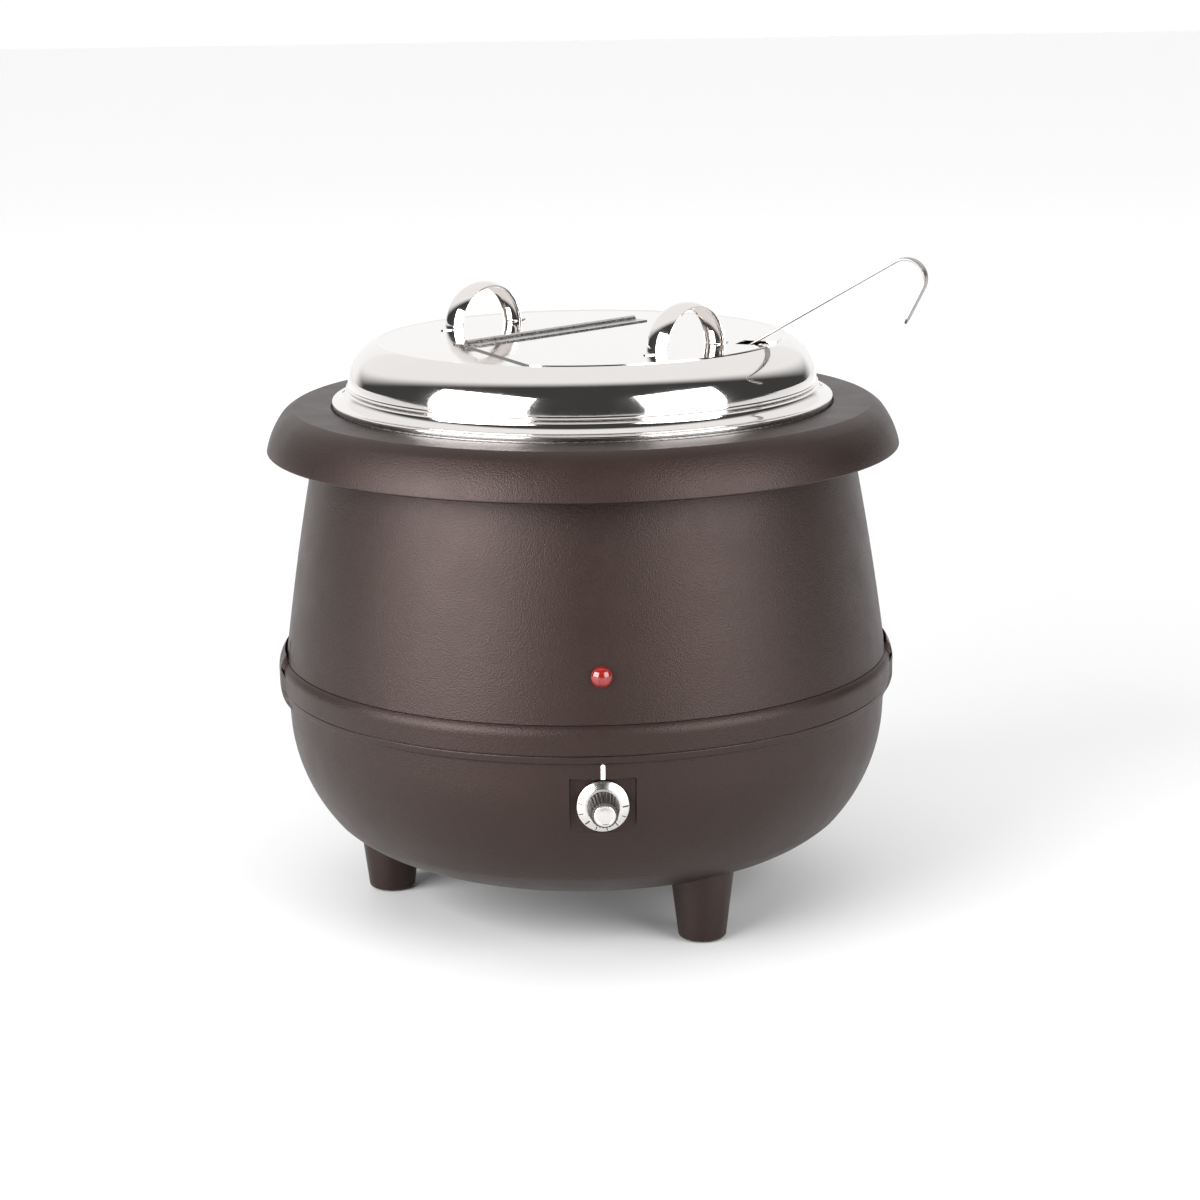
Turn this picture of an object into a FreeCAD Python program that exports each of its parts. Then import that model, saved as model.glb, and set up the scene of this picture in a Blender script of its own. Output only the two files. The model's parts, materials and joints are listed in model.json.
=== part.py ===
"""Electric soup kettle: round plastic casing on three feet, lift-out pot, hinged steel lid and ladle.

Millimetres. The kettle's axis is Z and the floor is Z = 0. The control knob faces -Y.
An azimuth is measured from -Y towards +X. Heights are measured from the floor.
"""
import FreeCAD, Part
import math
import os
import re
import Sketcher
from FreeCAD import Placement, Rotation, Vector

doc = FreeCAD.newDocument("SoupKettle")

# ---------------------------------------------------------------- driving dimensions
SIZES = {
    # casing
    "wall": 3,
    "floor_height": 37,
    "floor_radius": 115,
    "heel_radius": 166,
    "heel_height": 57.5,
    "heel_curve": 73,
    "bowl_radius": 191.2,
    "bowl_height": 121.4,
    "bowl_curve": 108.8,
    "belt_radius": 195.6,
    "belt_foot": 137.4,
    "belt_shoulder": 154,
    "belt_curve": 9,
    "belt_top": 160.7,
    "belt_top_radius": 192.8,
    "shell_radius": 192.4,
    "shell_top": 306,
    "shell_top_radius": 168,
    "shell_curve": 2000,
    "lug_radius": 197.4,
    "lug_gap_radius": 192.9,
    "lug_foot": 130,
    "lug_top": 165.8,
    "lug_foot_curve": 22,
    "lug_top_curve": 20,
    "lug_span": 17,
    "slot_width": 3.2,
    "slot_depth": 2,
    "slot_top": 175.5,
    # collar
    "collar_radius": 200,
    "collar_foot": 292.5,
    "collar_top": 320.5,
    "collar_knee_radius": 190,
    "collar_knee": 315.5,
    "collar_flat_radius": 183,
    "collar_curve": 54,
    "collar_round": 20,
    "collar_bore": 149.5,
    "seat_radius": 158.5,
    "seat_height": 319,
    # pan and pot
    "sheet": 1,
    "pan_radius": 148,
    "pan_floor": 144,
    "pan_flange_radius": 157.6,
    "pan_corner": 12,
    "pot_radius": 141,
    "pot_floor": 165,
    "pot_lip_radius": 146.5,
    "pot_lip": 332,
    "pot_rim_radius": 157.8,
    "pot_rim": 323,
    # lid
    "lid_turn": 42.3,
    "lid_radius": 147.6,
    "lid_lip_radius": 149,
    "lid_wall_top": 338.5,
    "lid_curve": 30.5,
    "crest_radius": 128.8,
    "crest_height": 361.7,
    "panel_radius": 126.6,
    "panel_height": 360.2,
    "flap_radius": 126,
    "flap_corner": 108,
    "flap_back": 76.5,
    "hinge_offset": 26,
    "hinge_edge": 23.4,
    "mouth_radius": 117.5,
    "mouth_corner": 98.5,
    "mouth_back": 67,
    "mouth_edge": 16,
    "ring_radius": 139.4,
    "ring_foot": 322,
    "knuckle_radius": 1.9,
    "pin_radius": 0.9,
    "pin_height": 362.2,
    "knuckle_pitch": 11.5,
    "leaf": 0.8,
    "grip_radius": 28.6,
    "grip_width": 17,
    "grip_offset": 90,
    "grip_camber": 16,
    "tab_reach": 38,
    # ladle
    "ladle_azimuth": 65.3,
    "ladle_slope": 30.4,
    "ladle_exit": 114,
    "strap_width": 8,
    "strap": 1.6,
    "strap_inside": 224,
    "strap_outside": 104.5,
    "hook_radius": 12,
    "hook_turn": 147,
    "hook_tail": 24,
    "ladle_radius": 41,
    "ladle_rim": 14,
    "ladle_sheet": 1.2,
    "rivet_radius": 1.5,
    "notch_width": 17,
    "notch_depth": 105,
    # controls
    "dial_height": 110.3,
    "recess_floor": 185.5,
    "recess_width": 38.5,
    "recess_foot": 94.5,
    "recess_top": 127.4,
    "skirt_radius": 15.6,
    "grip_root_radius": 9.75,
    "grip_tip_radius": 8,
    "grip_length": 15.6,
    "spindle_radius": 3,
    "lamp_height": 189,
    "lamp_radius": 6.25,
    "lamp_dome": 3.4,
    # feet, rods and heater
    "foot_circle": 129,
    "foot_radius": 15,
    "foot_top_radius": 20.6,
    "foot_tip": 0.8,
    "pad_radius": 11,
    "rod_circle": 156,
    "rod_radius": 2.5,
    "rod_seat": 62,
    "boss_top": 72,
    "shield_height": 110,
    "shield_radius": 164,
    "plate_radius": 100,
    "plate": 5,
    "element_circle": 80,
    "element_radius": 4,
    "gland_height": 90,
    "gland_radius": 8,
    "cable_radius": 3.6,
}

sheet = doc.addObject("Spreadsheet::Sheet", "Sizes")
for row, (alias, number) in enumerate(SIZES.items(), start=1):
    sheet.set("A%d" % row, alias.replace("_", " "))
    sheet.set("B%d" % row, str(number))
    sheet.setAlias("B%d" % row, alias)
doc.recompute()


# ---------------------------------------------------------------- helpers
def expression(text):
    """The text as a document expression: each size name gets the sheet's name in front."""
    return re.sub(r"[a-z]\w*", lambda word: "Sizes." + word[0] if word[0] in SIZES else word[0], str(text))


def value(text):
    """The number that an expression of size names gives."""
    number = sheet.evalExpression(expression(text))
    return float(getattr(number, "Value", number))


def bind(thing, **properties):
    """Bind properties of an object to expressions of size names."""
    for name, text in properties.items():
        thing.setExpression(name, expression(text))
    return thing


def bind_place(thing, place):
    """Bind the object's position, given as three expressions."""
    for axis, text in zip("xyz", place):
        thing.setExpression("Placement.Base." + axis, expression(text))
    return thing


def polar(radius, azimuth):
    """Expressions of the X and Y of a point at a radius and an azimuth in degrees."""
    return "(%s) * sin(%s)" % (radius, azimuth), "-(%s) * cos(%s)" % (radius, azimuth)


def plane_of(body, role):
    """One of the body's own origin planes."""
    return next(item for item in body.Origin.OriginFeatures if item.Role == role)


def arc_between(start, end, radius):
    """The arc from start to end; a positive radius bulges to the right of the way from start to end."""
    chord = end - start
    middle = (start + end) * 0.5
    left = Vector(-chord.y, chord.x, 0).normalize()
    rise = math.sqrt(radius * radius - (chord.Length / 2) ** 2)
    centre = middle + left * rise * (1 if radius > 0 else -1)
    first, last = (start, end) if radius > 0 else (end, start)
    angles = [math.atan2(point.y - centre.y, point.x - centre.x) for point in (first, last)]
    return Part.ArcOfCircle(Part.Circle(centre, Vector(0, 0, 1), abs(radius)), angles[0], angles[1])


def sketch_in(body, plane, name, height="0"):
    """An empty sketch on the body's plane, moved along the plane's normal by the height."""
    sketch = body.newObject("Sketcher::SketchObject", name)
    sketch.AttachmentSupport = [(plane_of(body, plane), "")]
    sketch.MapMode = "FlatFace"
    sketch.setExpression("AttachmentOffset.Base.z", expression(height))
    return sketch


def pin_point(sketch, geometry, end, x, y):
    """Hold one point of a sketch at two expressions."""
    for text, across, axis in ((x, True, -2), (y, False, -1)):
        number = value(text)
        if abs(number) < 1e-9:
            sketch.addConstraint(Sketcher.Constraint("PointOnObject", geometry, end, axis))
            continue
        kind = "DistanceX" if across else "DistanceY"
        index = sketch.addConstraint(Sketcher.Constraint(kind, -1, 1, geometry, end, number))
        sketch.setExpression("Constraints[%d]" % index, expression(text))


def outline(sketch, corners):
    """Close a sketch through corners (x, y) or (x, y, radius of the arc to the next corner)."""
    points = [Vector(value(corner[0]), value(corner[1]), 0) for corner in corners]
    ends = []
    for index, corner in enumerate(corners):
        start, end = points[index], points[(index + 1) % len(points)]
        radius = value(corner[2]) if len(corner) > 2 else 0
        edge = arc_between(start, end, radius) if radius else Part.LineSegment(start, end)
        geometry = sketch.addGeometry(edge, False)
        ends.append((geometry, 2 if radius < 0 else 1, 1 if radius < 0 else 2))
        if radius:
            index = sketch.addConstraint(Sketcher.Constraint("Radius", geometry, abs(radius)))
            sketch.setExpression("Constraints[%d]" % index, expression("abs(%s)" % corner[2]))
    for index, (geometry, start, end) in enumerate(ends):
        after = ends[(index + 1) % len(ends)]
        sketch.addConstraint(Sketcher.Constraint("Coincident", geometry, end, after[0], after[1]))
        pin_point(sketch, geometry, start, corners[index][0], corners[index][1])
    return sketch


def circles(sketch, radius, centres):
    """Circles of one radius at centres (x, y)."""
    for x, y in centres:
        circle = Part.Circle(Vector(value(x), value(y), 0), Vector(0, 0, 1), value(radius))
        geometry = sketch.addGeometry(circle, False)
        index = sketch.addConstraint(Sketcher.Constraint("Radius", geometry, value(radius)))
        sketch.setExpression("Constraints[%d]" % index, expression(radius))
        pin_point(sketch, geometry, 3, x, y)
    return sketch


def new_body(name):
    return doc.addObject("PartDesign::Body", name)


def turned(name, corners):
    """A solid of revolution about Z; corners are (radius, height) pairs."""
    body = new_body(name)
    sketch = outline(sketch_in(body, "XZ_Plane", name + "_profile"), corners)
    feature = body.newObject("PartDesign::Revolution", name + "_turn")
    feature.Profile = sketch
    feature.ReferenceAxis = (sketch, ["V_Axis"])
    feature.Angle = 360
    sketch.Visibility = False
    return body


def pad(body, sketch, length, reverse=False):
    """Add the sketch's shape to the body."""
    feature = body.newObject("PartDesign::Pad", sketch.Name + "_pad")
    feature.Profile = sketch
    feature.Reversed = reverse
    return bind(feature, Length=length)


def pocket(body, sketch, length, reverse=False):
    """Cut the sketch's shape from the body, and check that something was cut."""
    doc.recompute()
    before = body.Shape.Volume
    feature = body.newObject("PartDesign::Pocket", sketch.Name + "_pocket")
    feature.Profile = sketch
    feature.Reversed = reverse
    bind(feature, Length=length)
    doc.recompute()
    if body.Shape.Volume > before - 0.5:
        raise RuntimeError(feature.Name + " cuts nothing")
    return feature


def cylinder(name, radius, length, place, turn=None):
    """A cylinder from place along +Z, or along the axis that turn makes of +Z."""
    solid = bind(doc.addObject("Part::Cylinder", name), Radius=radius, Height=length)
    if turn:
        solid.Placement = Placement(Vector(), turn)
    return bind_place(solid, place)


def block(name, size, place):
    """A box of three sizes from its lowest corner."""
    solid = bind(doc.addObject("Part::Box", name), Length=size[0], Width=size[1], Height=size[2])
    return bind_place(solid, place)


def fuse(name, shapes):
    solid = doc.addObject("Part::MultiFuse", name)
    solid.Shapes = shapes
    solid.Refine = True
    return solid


def group(name, shapes):
    """Separate solids of one node."""
    solid = doc.addObject("Part::Compound", name)
    solid.Links = shapes
    return solid


def cut(name, base, tool):
    solid = doc.addObject("Part::Cut", name)
    solid.Base = base
    solid.Tool = tool
    return solid


def common(name, base, tool):
    solid = doc.addObject("Part::Common", name)
    solid.Base = base
    solid.Tool = tool
    return solid


FRONT = Rotation(Vector(1, 0, 0), 90)      # +Z becomes -Y, towards the front
REAR = Rotation(Vector(1, 0, 0), -90)      # +Z becomes +Y, towards the rear
ALONG_X = Rotation(Vector(0, 1, 0), 90)    # +Z becomes +X


def face_front(body, height):
    """Turn a body made about Z so that it points to the front at a height."""
    body.Placement = Placement(Vector(0, 0, value(height)), FRONT)
    return body


nodes = {}


def node(name, thing):
    """Register an object as a piece of the kettle."""
    thing.Label = name
    nodes[name] = thing
    return thing


FOOT_AZIMUTHS = {"foot_front_right": 30, "foot_rear_right": 150, "foot_left": 270}
ROD_AZIMUTHS = (90, 210, 330)

# ---------------------------------------------------------------- casing
# The bowl's outer surface, as a full solid that trims bosses and feet.
OUTER = [("floor_radius", "floor_height", "heel_curve"),
         ("heel_radius", "heel_height", "bowl_curve"),
         ("bowl_radius", "bowl_height"),
         ("bowl_radius + 0.8", "belt_foot"),
         ("belt_radius - 1.4", "belt_foot + 0.8"),
         ("belt_radius - 0.9", "belt_foot + 4.8"),
         ("belt_radius - 1.5", "belt_foot + 5.2"),
         ("belt_radius - 0.2", "belt_foot + 5.9"),
         ("belt_radius", "belt_shoulder", "belt_curve"),
         ("belt_top_radius", "belt_top")]
bowl_core = turned("bowl_core", [("0", "floor_height")] + OUTER + [("0", "belt_top")])

bowl_skin = turned("bowl_skin", [("0", "floor_height")] + OUTER + [
    ("bowl_radius - wall", "belt_top"),
    ("bowl_radius - wall", "bowl_height", "-(bowl_curve - wall)"),
    ("heel_radius - 0.77 * wall", "heel_height + 0.7 * wall", "-(heel_curve - wall)"),
    ("floor_radius", "floor_height + wall"),
    ("0", "floor_height + wall")])

# Side lugs: raised stretches over the belt, with a thin gap between lug and upper shell.
lugs = []
for side, azimuth in (("right", 90), ("left", 270)):
    lug = turned("lug_" + side, [
        ("bowl_radius - 0.8", "lug_foot"), ("bowl_radius + 0.7", "lug_foot", "lug_foot_curve"),
        ("lug_radius", "lug_foot + 15"), ("lug_radius", "belt_shoulder - 2", "lug_top_curve"),
        ("lug_gap_radius + 0.7", "lug_top"), ("lug_gap_radius", "lug_top"),
        ("lug_gap_radius", "belt_top - 2"), ("bowl_radius - 0.8", "belt_top - 2")])
    lug.Tip.Angle = SIZES["lug_span"]
    bind(lug.Tip, Angle="lug_span")
    lug.Placement = Placement(Vector(), Rotation(Vector(0, 0, 1), azimuth - 90 - value("lug_span") / 2))
    lugs.append(lug)

# Bosses inside the bowl: behind the control recess, over the feet, for the rods and for the cable gland.
recess_boss = block("recess_boss", ("recess_width + 2 * wall", "30", "recess_top - recess_foot + 10"),
                    ("-recess_width / 2 - wall", "-recess_floor + wall - 30", "recess_foot - 6"))
bosses = [recess_boss]
for name, azimuth in FOOT_AZIMUTHS.items():
    x, y = polar("foot_circle", azimuth)
    bosses.append(cylinder(name + "_boss", "8", "9", (x, y, "floor_height")))
for azimuth in ROD_AZIMUTHS:
    x, y = polar("rod_circle", azimuth)
    bosses.append(cylinder("rod_boss_%d" % azimuth, "8", "boss_top - floor_height - 5",
                           (x, y, "floor_height + 5")))
bosses.append(cylinder("gland_boss", "gland_radius + 5", "22", ("0", "164", "gland_height"), REAR))
inner_bosses = common("inner_bosses", fuse("all_bosses", bosses), bowl_core)
gland_pad = cylinder("gland_pad", "gland_radius + 4", "7.5", ("0", "181", "gland_height"), REAR)

holes = [block("recess", ("recess_width", "20", "recess_top - recess_foot"),
               ("-recess_width / 2", "-recess_floor - 20", "recess_foot")),
         cylinder("spindle_hole", "5", "20", ("0", "-recess_floor + 15", "dial_height"), FRONT),
         cylinder("gland_hole", "gland_radius + 0.1", "40", ("0", "155", "gland_height"), REAR)]
for name, azimuth in FOOT_AZIMUTHS.items():
    x, y = polar("foot_circle", azimuth)
    holes.append(cylinder(name + "_hole", "2.6", "20", (x, y, "floor_height - 2")))
for azimuth in ROD_AZIMUTHS:
    x, y = polar("rod_circle", azimuth)
    holes.append(cylinder("rod_sink_%d" % azimuth, "6", "rod_seat - 30", (x, y, "30")))
    holes.append(cylinder("rod_hole_%d" % azimuth, "rod_radius + 0.2", "60", (x, y, "30")))
for side in (-1, 1):
    holes.append(cylinder("plate_hole_%d" % (side + 2), "1.6", "20",
                          ("%d" % (side * 13), "-recess_floor + 15", "dial_height"), FRONT))
solid_bowl = fuse("solid_bowl", [bowl_skin, inner_bosses, gland_pad] + lugs)
node("base_bowl", cut("base_bowl", solid_bowl, fuse("bowl_holes", holes)))

shell_skin = turned("shell_skin", [
    ("shell_radius", "belt_top", "shell_curve"), ("shell_top_radius", "shell_top"),
    ("shell_top_radius - wall", "shell_top", "-shell_curve"), ("shell_radius - 1.3 * wall", "belt_top + 8"),
    ("bowl_radius - wall - 2.7", "belt_top + 4"), ("bowl_radius - wall - 2.7", "belt_top - 9"),
    ("bowl_radius - wall - 0.1", "belt_top - 9"), ("bowl_radius - wall - 0.1", "belt_top")])
lamp_opening = circles(sketch_in(shell_skin, "XZ_Plane", "lamp_opening", "150"), "lamp_radius + 0.05",
                       [("0", "lamp_height")])
pocket(shell_skin, lamp_opening, "60", reverse=True)
# Four upright slots in the shell, one at each end of each lug.
slots = []
for middle in (90, 270):
    for side in (-1, 1):
        azimuth = "(%d + %d * (lug_span / 2 + 0.8))" % (middle, side)
        slot = bind(doc.addObject("Part::Box", "slot_%d_%d" % (middle, side + 2)),
                    Length="10", Width="slot_width", Height="slot_top - belt_top + 5")
        slot.Placement = Placement(Vector(), Rotation(Vector(0, 0, 1), value(azimuth) - 90))
        depth = "(shell_radius - slot_depth)"
        bind_place(slot, ("%s * sin(%s) - slot_width / 2 * cos(%s)" % (depth, azimuth, azimuth),
                          "-%s * cos(%s) - slot_width / 2 * sin(%s)" % (depth, azimuth, azimuth),
                          "belt_top - 5"))
        slots.append(slot)
node("upper_shell", cut("upper_shell_slotted", shell_skin, fuse("shell_slots", slots)))

collar_skin = turned("collar_skin", [
    ("collar_radius", "collar_foot", "collar_curve"), ("collar_knee_radius", "collar_knee", "collar_round"),
    ("collar_flat_radius", "collar_top"), ("seat_radius", "collar_top"), ("seat_radius", "seat_height"),
    ("collar_bore", "seat_height"), ("collar_bore", "seat_height - wall"),
    ("shell_top_radius - 5", "seat_height - wall"), ("shell_top_radius - 5", "shell_top"),
    ("shell_top_radius + 3", "shell_top"), ("shell_top_radius + 3", "collar_top - wall"),
    ("collar_flat_radius - 1", "collar_top - wall", "-(collar_round - wall)"),
    ("collar_knee_radius - 2.4", "collar_knee - 1.8", "-(collar_curve - wall)"),
    ("collar_radius - wall", "collar_foot")])
collar_bosses = []
collar_holes = []
for azimuth in ROD_AZIMUTHS:
    x, y = polar("rod_circle", azimuth)
    collar_bosses.append(cylinder("collar_boss_%d" % azimuth, "6", "17", (x, y, "300")))
    collar_holes.append(cylinder("collar_hole_%d" % azimuth, "rod_radius + 0.05", "14", (x, y, "299")))
node("collar_ring", cut("collar_ring", fuse("solid_collar", [collar_skin] + collar_bosses),
                        fuse("collar_holes", collar_holes)))

# ---------------------------------------------------------------- vessels
node("pan_gasket", turned("pan_gasket", [
    ("collar_bore + 0.5", "seat_height"), ("seat_radius - 1.5", "seat_height"),
    ("seat_radius - 1.5", "collar_top"), ("collar_bore + 0.5", "collar_top")]))
node("water_pan", turned("water_pan", [
    ("0", "pan_floor"), ("pan_radius - pan_corner", "pan_floor", "pan_corner"),
    ("pan_radius", "pan_floor + pan_corner"), ("pan_radius", "collar_top"),
    ("pan_flange_radius", "collar_top"), ("pan_flange_radius", "collar_top + sheet"),
    ("pan_radius - sheet", "collar_top + sheet"), ("pan_radius - sheet", "pan_floor + pan_corner",
                                                    "-(pan_corner - sheet)"),
    ("pan_radius - pan_corner", "pan_floor + sheet"), ("0", "pan_floor + sheet")]))
POT_ROLL = "pot_lip_radius - pot_radius"
node("soup_pot", turned("soup_pot", [
    ("0", "pot_floor"), ("pot_radius - pan_corner", "pot_floor", "pan_corner"),
    ("pot_radius", "pot_floor + pan_corner"),
    ("pot_radius", "pot_lip - sheet - (%s)" % POT_ROLL, "-(%s)" % POT_ROLL),
    ("pot_lip_radius", "pot_lip - sheet"), ("pot_rim_radius - 1.3", "pot_rim - 0.6"),
    ("pot_rim_radius - 1.2", "collar_top + sheet"), ("pot_rim_radius", "collar_top + sheet"),
    ("pot_rim_radius", "pot_rim"), ("pot_lip_radius + 0.7", "pot_lip"),
    ("pot_lip_radius", "pot_lip", "%s + sheet" % POT_ROLL),
    ("pot_radius - sheet", "pot_lip - sheet - (%s)" % POT_ROLL),
    ("pot_radius - sheet", "pot_floor + pan_corner", "-(pan_corner - sheet)"),
    ("pot_radius - pan_corner", "pot_floor + sheet"), ("0", "pot_floor + sheet")]))

# ---------------------------------------------------------------- lid
# The lid's own axes: X along the hinge, -Y towards the flap. It is turned about Z as a whole.
LID = Placement(Vector(), Rotation(Vector(0, 0, 1), value("lid_turn")))


def in_lid(thing):
    thing.Placement = LID.multiply(thing.Placement)
    return thing


def half_disc(back, edge, corner, radius):
    """Outline with a straight back, two slanting sides and a round front."""
    depth = "-sqrt((%s)^2 - (%s)^2)" % (radius, corner)
    return [("-(%s)" % back, edge), ("-(%s)" % corner, depth, radius), (corner, depth), (back, edge)]


lid_dome = turned("lid_dome", [
    ("0", "panel_height"), ("0", "panel_height - sheet"), ("panel_radius + 0.3", "panel_height - sheet"),
    ("crest_radius + 0.3", "crest_height - sheet", "-(lid_curve - sheet)"),
    ("lid_radius - sheet", "lid_wall_top"), ("lid_radius - sheet", "pot_lip + sheet"),
    ("lid_radius - sheet - 0.7", "pot_lip + sheet"), ("lid_radius - sheet - 0.7", "pot_lip"),
    ("lid_lip_radius", "pot_lip"), ("lid_lip_radius", "pot_lip + sheet"),
    ("lid_radius + 0.3", "pot_lip + sheet + 0.2"), ("lid_radius", "lid_wall_top", "lid_curve"),
    ("crest_radius", "crest_height"), ("panel_radius", "panel_height")])
mouth = outline(sketch_in(lid_dome, "XY_Plane", "lid_mouth", "panel_height - 10"),
                half_disc("mouth_back", "mouth_edge", "mouth_corner", "mouth_radius"))
pocket(lid_dome, mouth, "20", reverse=True)
node("lid_dome", in_lid(lid_dome))

node("lid_locating_ring", turned("lid_locating_ring", [
    ("ring_radius - sheet", "ring_foot"), ("ring_radius", "ring_foot"), ("ring_radius", "pot_lip + sheet"),
    ("lid_radius - sheet", "pot_lip + sheet"), ("lid_radius - sheet", "pot_lip + 2 * sheet"),
    ("ring_radius - sheet", "pot_lip + 2 * sheet")]))

flap = new_body("lid_flap")
flap_shape = outline(sketch_in(flap, "XY_Plane", "flap_outline", "panel_height"),
                     half_disc("flap_back", "hinge_edge", "flap_corner", "flap_radius"))
pad(flap, flap_shape, "sheet")
NOTCH_ANGLE = "(ladle_azimuth - 90 - lid_turn)"


def notch_corner(radius, side):
    """A point at a radius along the ladle's line and a distance to its side, in the lid's axes."""
    return ("(%s) * cos(%s) - (%s) * sin(%s)" % (radius, NOTCH_ANGLE, side, NOTCH_ANGLE),
            "(%s) * sin(%s) + (%s) * cos(%s)" % (radius, NOTCH_ANGLE, side, NOTCH_ANGLE))


notch = outline(sketch_in(flap, "XY_Plane", "ladle_notch", "panel_height - 5"), [
    notch_corner("notch_depth", "-notch_width / 2"), notch_corner("flap_radius + 8", "-notch_width / 2"),
    notch_corner("flap_radius + 8", "notch_width / 2"), notch_corner("notch_depth", "notch_width / 2")])
pocket(flap, notch, "15", reverse=True)
node("lid_flap", in_lid(flap))


def lid_grip(name, offset, base):
    """A hollow cambered strap bent to a half circle, with a pointed tab at each foot."""
    body = new_body(name)
    low, high = "(%s) - grip_width / 2" % offset, "(%s) + grip_width / 2" % offset
    section = outline(sketch_in(body, "XY_Plane", name + "_section", base), [
        ("grip_radius - 2.6", low, "grip_camber"), ("grip_radius - 2.6", high),
        ("grip_radius - 3.9", high, "-(grip_camber + 1)"), ("grip_radius - 3.9", low)])
    bow = body.newObject("PartDesign::Revolution", name + "_bow")
    bow.Profile = section
    bow.ReferenceAxis = (section, ["V_Axis"])
    bow.Angle = 180
    bow.Reversed = True
    for side in (-1, 1):
        tab = outline(sketch_in(body, "XY_Plane", "%s_tab_%d" % (name, side + 2), base), [
            ("%d * (grip_radius - 4)" % side, "(%s) - 3.5" % offset),
            ("%d * (tab_reach - 6)" % side, "(%s) - 3.5" % offset), ("%d * tab_reach" % side, offset),
            ("%d * (tab_reach - 6)" % side, "(%s) + 3.5" % offset),
            ("%d * (grip_radius - 4)" % side, "(%s) + 3.5" % offset)])
        pad(body, tab, "leaf")
    return node(name, in_lid(body))


lid_grip("lid_handle_fixed", "grip_offset", "panel_height")
lid_grip("lid_handle_flap", "-grip_offset", "panel_height + sheet")

# Piano hinge: knuckles in turn on the fixed leaf and on the flap's leaf, on one pin.
KNUCKLES = 13
HINGE_START = "(-knuckle_pitch * %d / 2)" % KNUCKLES


def hinge_leaf(name, first, plate_start, plate_width, web_start, web_width, base):
    """A leaf with every second knuckle, bored for the pin."""
    length = "knuckle_pitch * %d" % KNUCKLES
    pieces = [block(name + "_plate", (length, plate_width, "leaf"), (HINGE_START, plate_start, base))]
    for number in range(first, KNUCKLES, 2):
        start = "%s + knuckle_pitch * %d + 0.15" % (HINGE_START, number)
        pieces.append(cylinder("%s_knuckle_%d" % (name, number), "knuckle_radius", "knuckle_pitch - 0.3",
                               (start, "hinge_offset", "pin_height"), ALONG_X))
        pieces.append(block("%s_web_%d" % (name, number), ("knuckle_pitch - 0.3", web_width, "leaf"),
                            (start, web_start, base)))
    bore = cylinder(name + "_bore", "pin_radius + 0.05", "knuckle_pitch * %d" % (KNUCKLES + 2),
                    ("%s - knuckle_pitch" % HINGE_START, "hinge_offset", "pin_height"), ALONG_X)
    return node(name, in_lid(cut(name, fuse(name + "_solid", pieces), bore)))


hinge_leaf("hinge_leaf_fixed", 0, "hinge_offset + 2.4", "9.6", "hinge_offset", "2.4 + 0.1", "panel_height")
hinge_leaf("hinge_leaf_flap", 1, "hinge_offset - 12", "9.5", "hinge_offset - 2.6", "2.6",
           "panel_height + sheet")
pin_rod = cylinder("hinge_pin_rod", "pin_radius", "knuckle_pitch * %d - 0.4" % KNUCKLES,
                   ("%s + 0.2" % HINGE_START, "hinge_offset", "pin_height"), ALONG_X)
node("hinge_pin", in_lid(group("hinge_pin", [pin_rod])))

# ---------------------------------------------------------------- ladle
# The ladle lies in one upright plane through the kettle's axis; its own X points outwards in that plane.
LADLE_TURN = Rotation(Vector(0, 0, 1), value("ladle_azimuth") - 90)
slope = math.radians(value("ladle_slope"))
along = Vector(math.cos(slope), 0, math.sin(slope))
upward = Vector(-math.sin(slope), 0, math.cos(slope))
ladle_exit = Vector(value("ladle_exit"), 0, value("panel_height + 0.8 * sheet"))
strap_end = ladle_exit - along * value("strap_inside")
hook_start = ladle_exit + along * value("strap_outside")
hook_centre = hook_start - upward * value("hook_radius")


def on_hook(turn):
    """The point of the hook's arc after a turn in degrees, and the way the strap runs there."""
    angle = slope + math.pi / 2 - math.radians(turn)
    out = Vector(math.cos(angle), 0, math.sin(angle))
    return hook_centre + out * value("hook_radius"), Vector(out.z, 0, -out.x)


hook_middle, _ = on_hook(value("hook_turn") / 2)
hook_end, tail_way = on_hook(value("hook_turn"))
strap_line = Part.Wire([
    Part.LineSegment(strap_end, hook_start).toShape(),
    Part.Arc(hook_start, hook_middle, hook_end).toShape(),
    Part.LineSegment(hook_end, hook_end + tail_way * value("hook_tail")).toShape()])
half_width = Vector(0, value("strap_width") / 2, 0)
half_strap = upward * (value("strap") / 2)
corners = [strap_end - half_width - half_strap, strap_end + half_width - half_strap,
           strap_end + half_width + half_strap, strap_end - half_width + half_strap]
strap_solid = strap_line.makePipeShell([Part.makePolygon(corners + corners[:1])], True, False)

# The bowl of the ladle: a half sphere under a short straight rim, its mouth facing along the strap.
ladle_centre = (ladle_exit - along * value("strap_inside - ladle_rim / 2 - 1")
                + upward * value("ladle_radius + strap / 2"))
ladle_bowl = turned("ladle_bowl", [
    ("0", "-ladle_radius", "ladle_radius"), ("ladle_radius", "0"), ("ladle_radius", "ladle_rim"),
    ("ladle_radius - ladle_sheet", "ladle_rim"),
    ("ladle_radius - ladle_sheet", "0", "-(ladle_radius - ladle_sheet)"),
    ("0", "-ladle_radius + ladle_sheet")])
bowl_turn = LADLE_TURN.multiply(Rotation(Vector(0, 1, 0), 90 - value("ladle_slope")))
ladle_bowl.Placement = Placement(LADLE_TURN.multVec(ladle_centre), bowl_turn)

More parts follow.
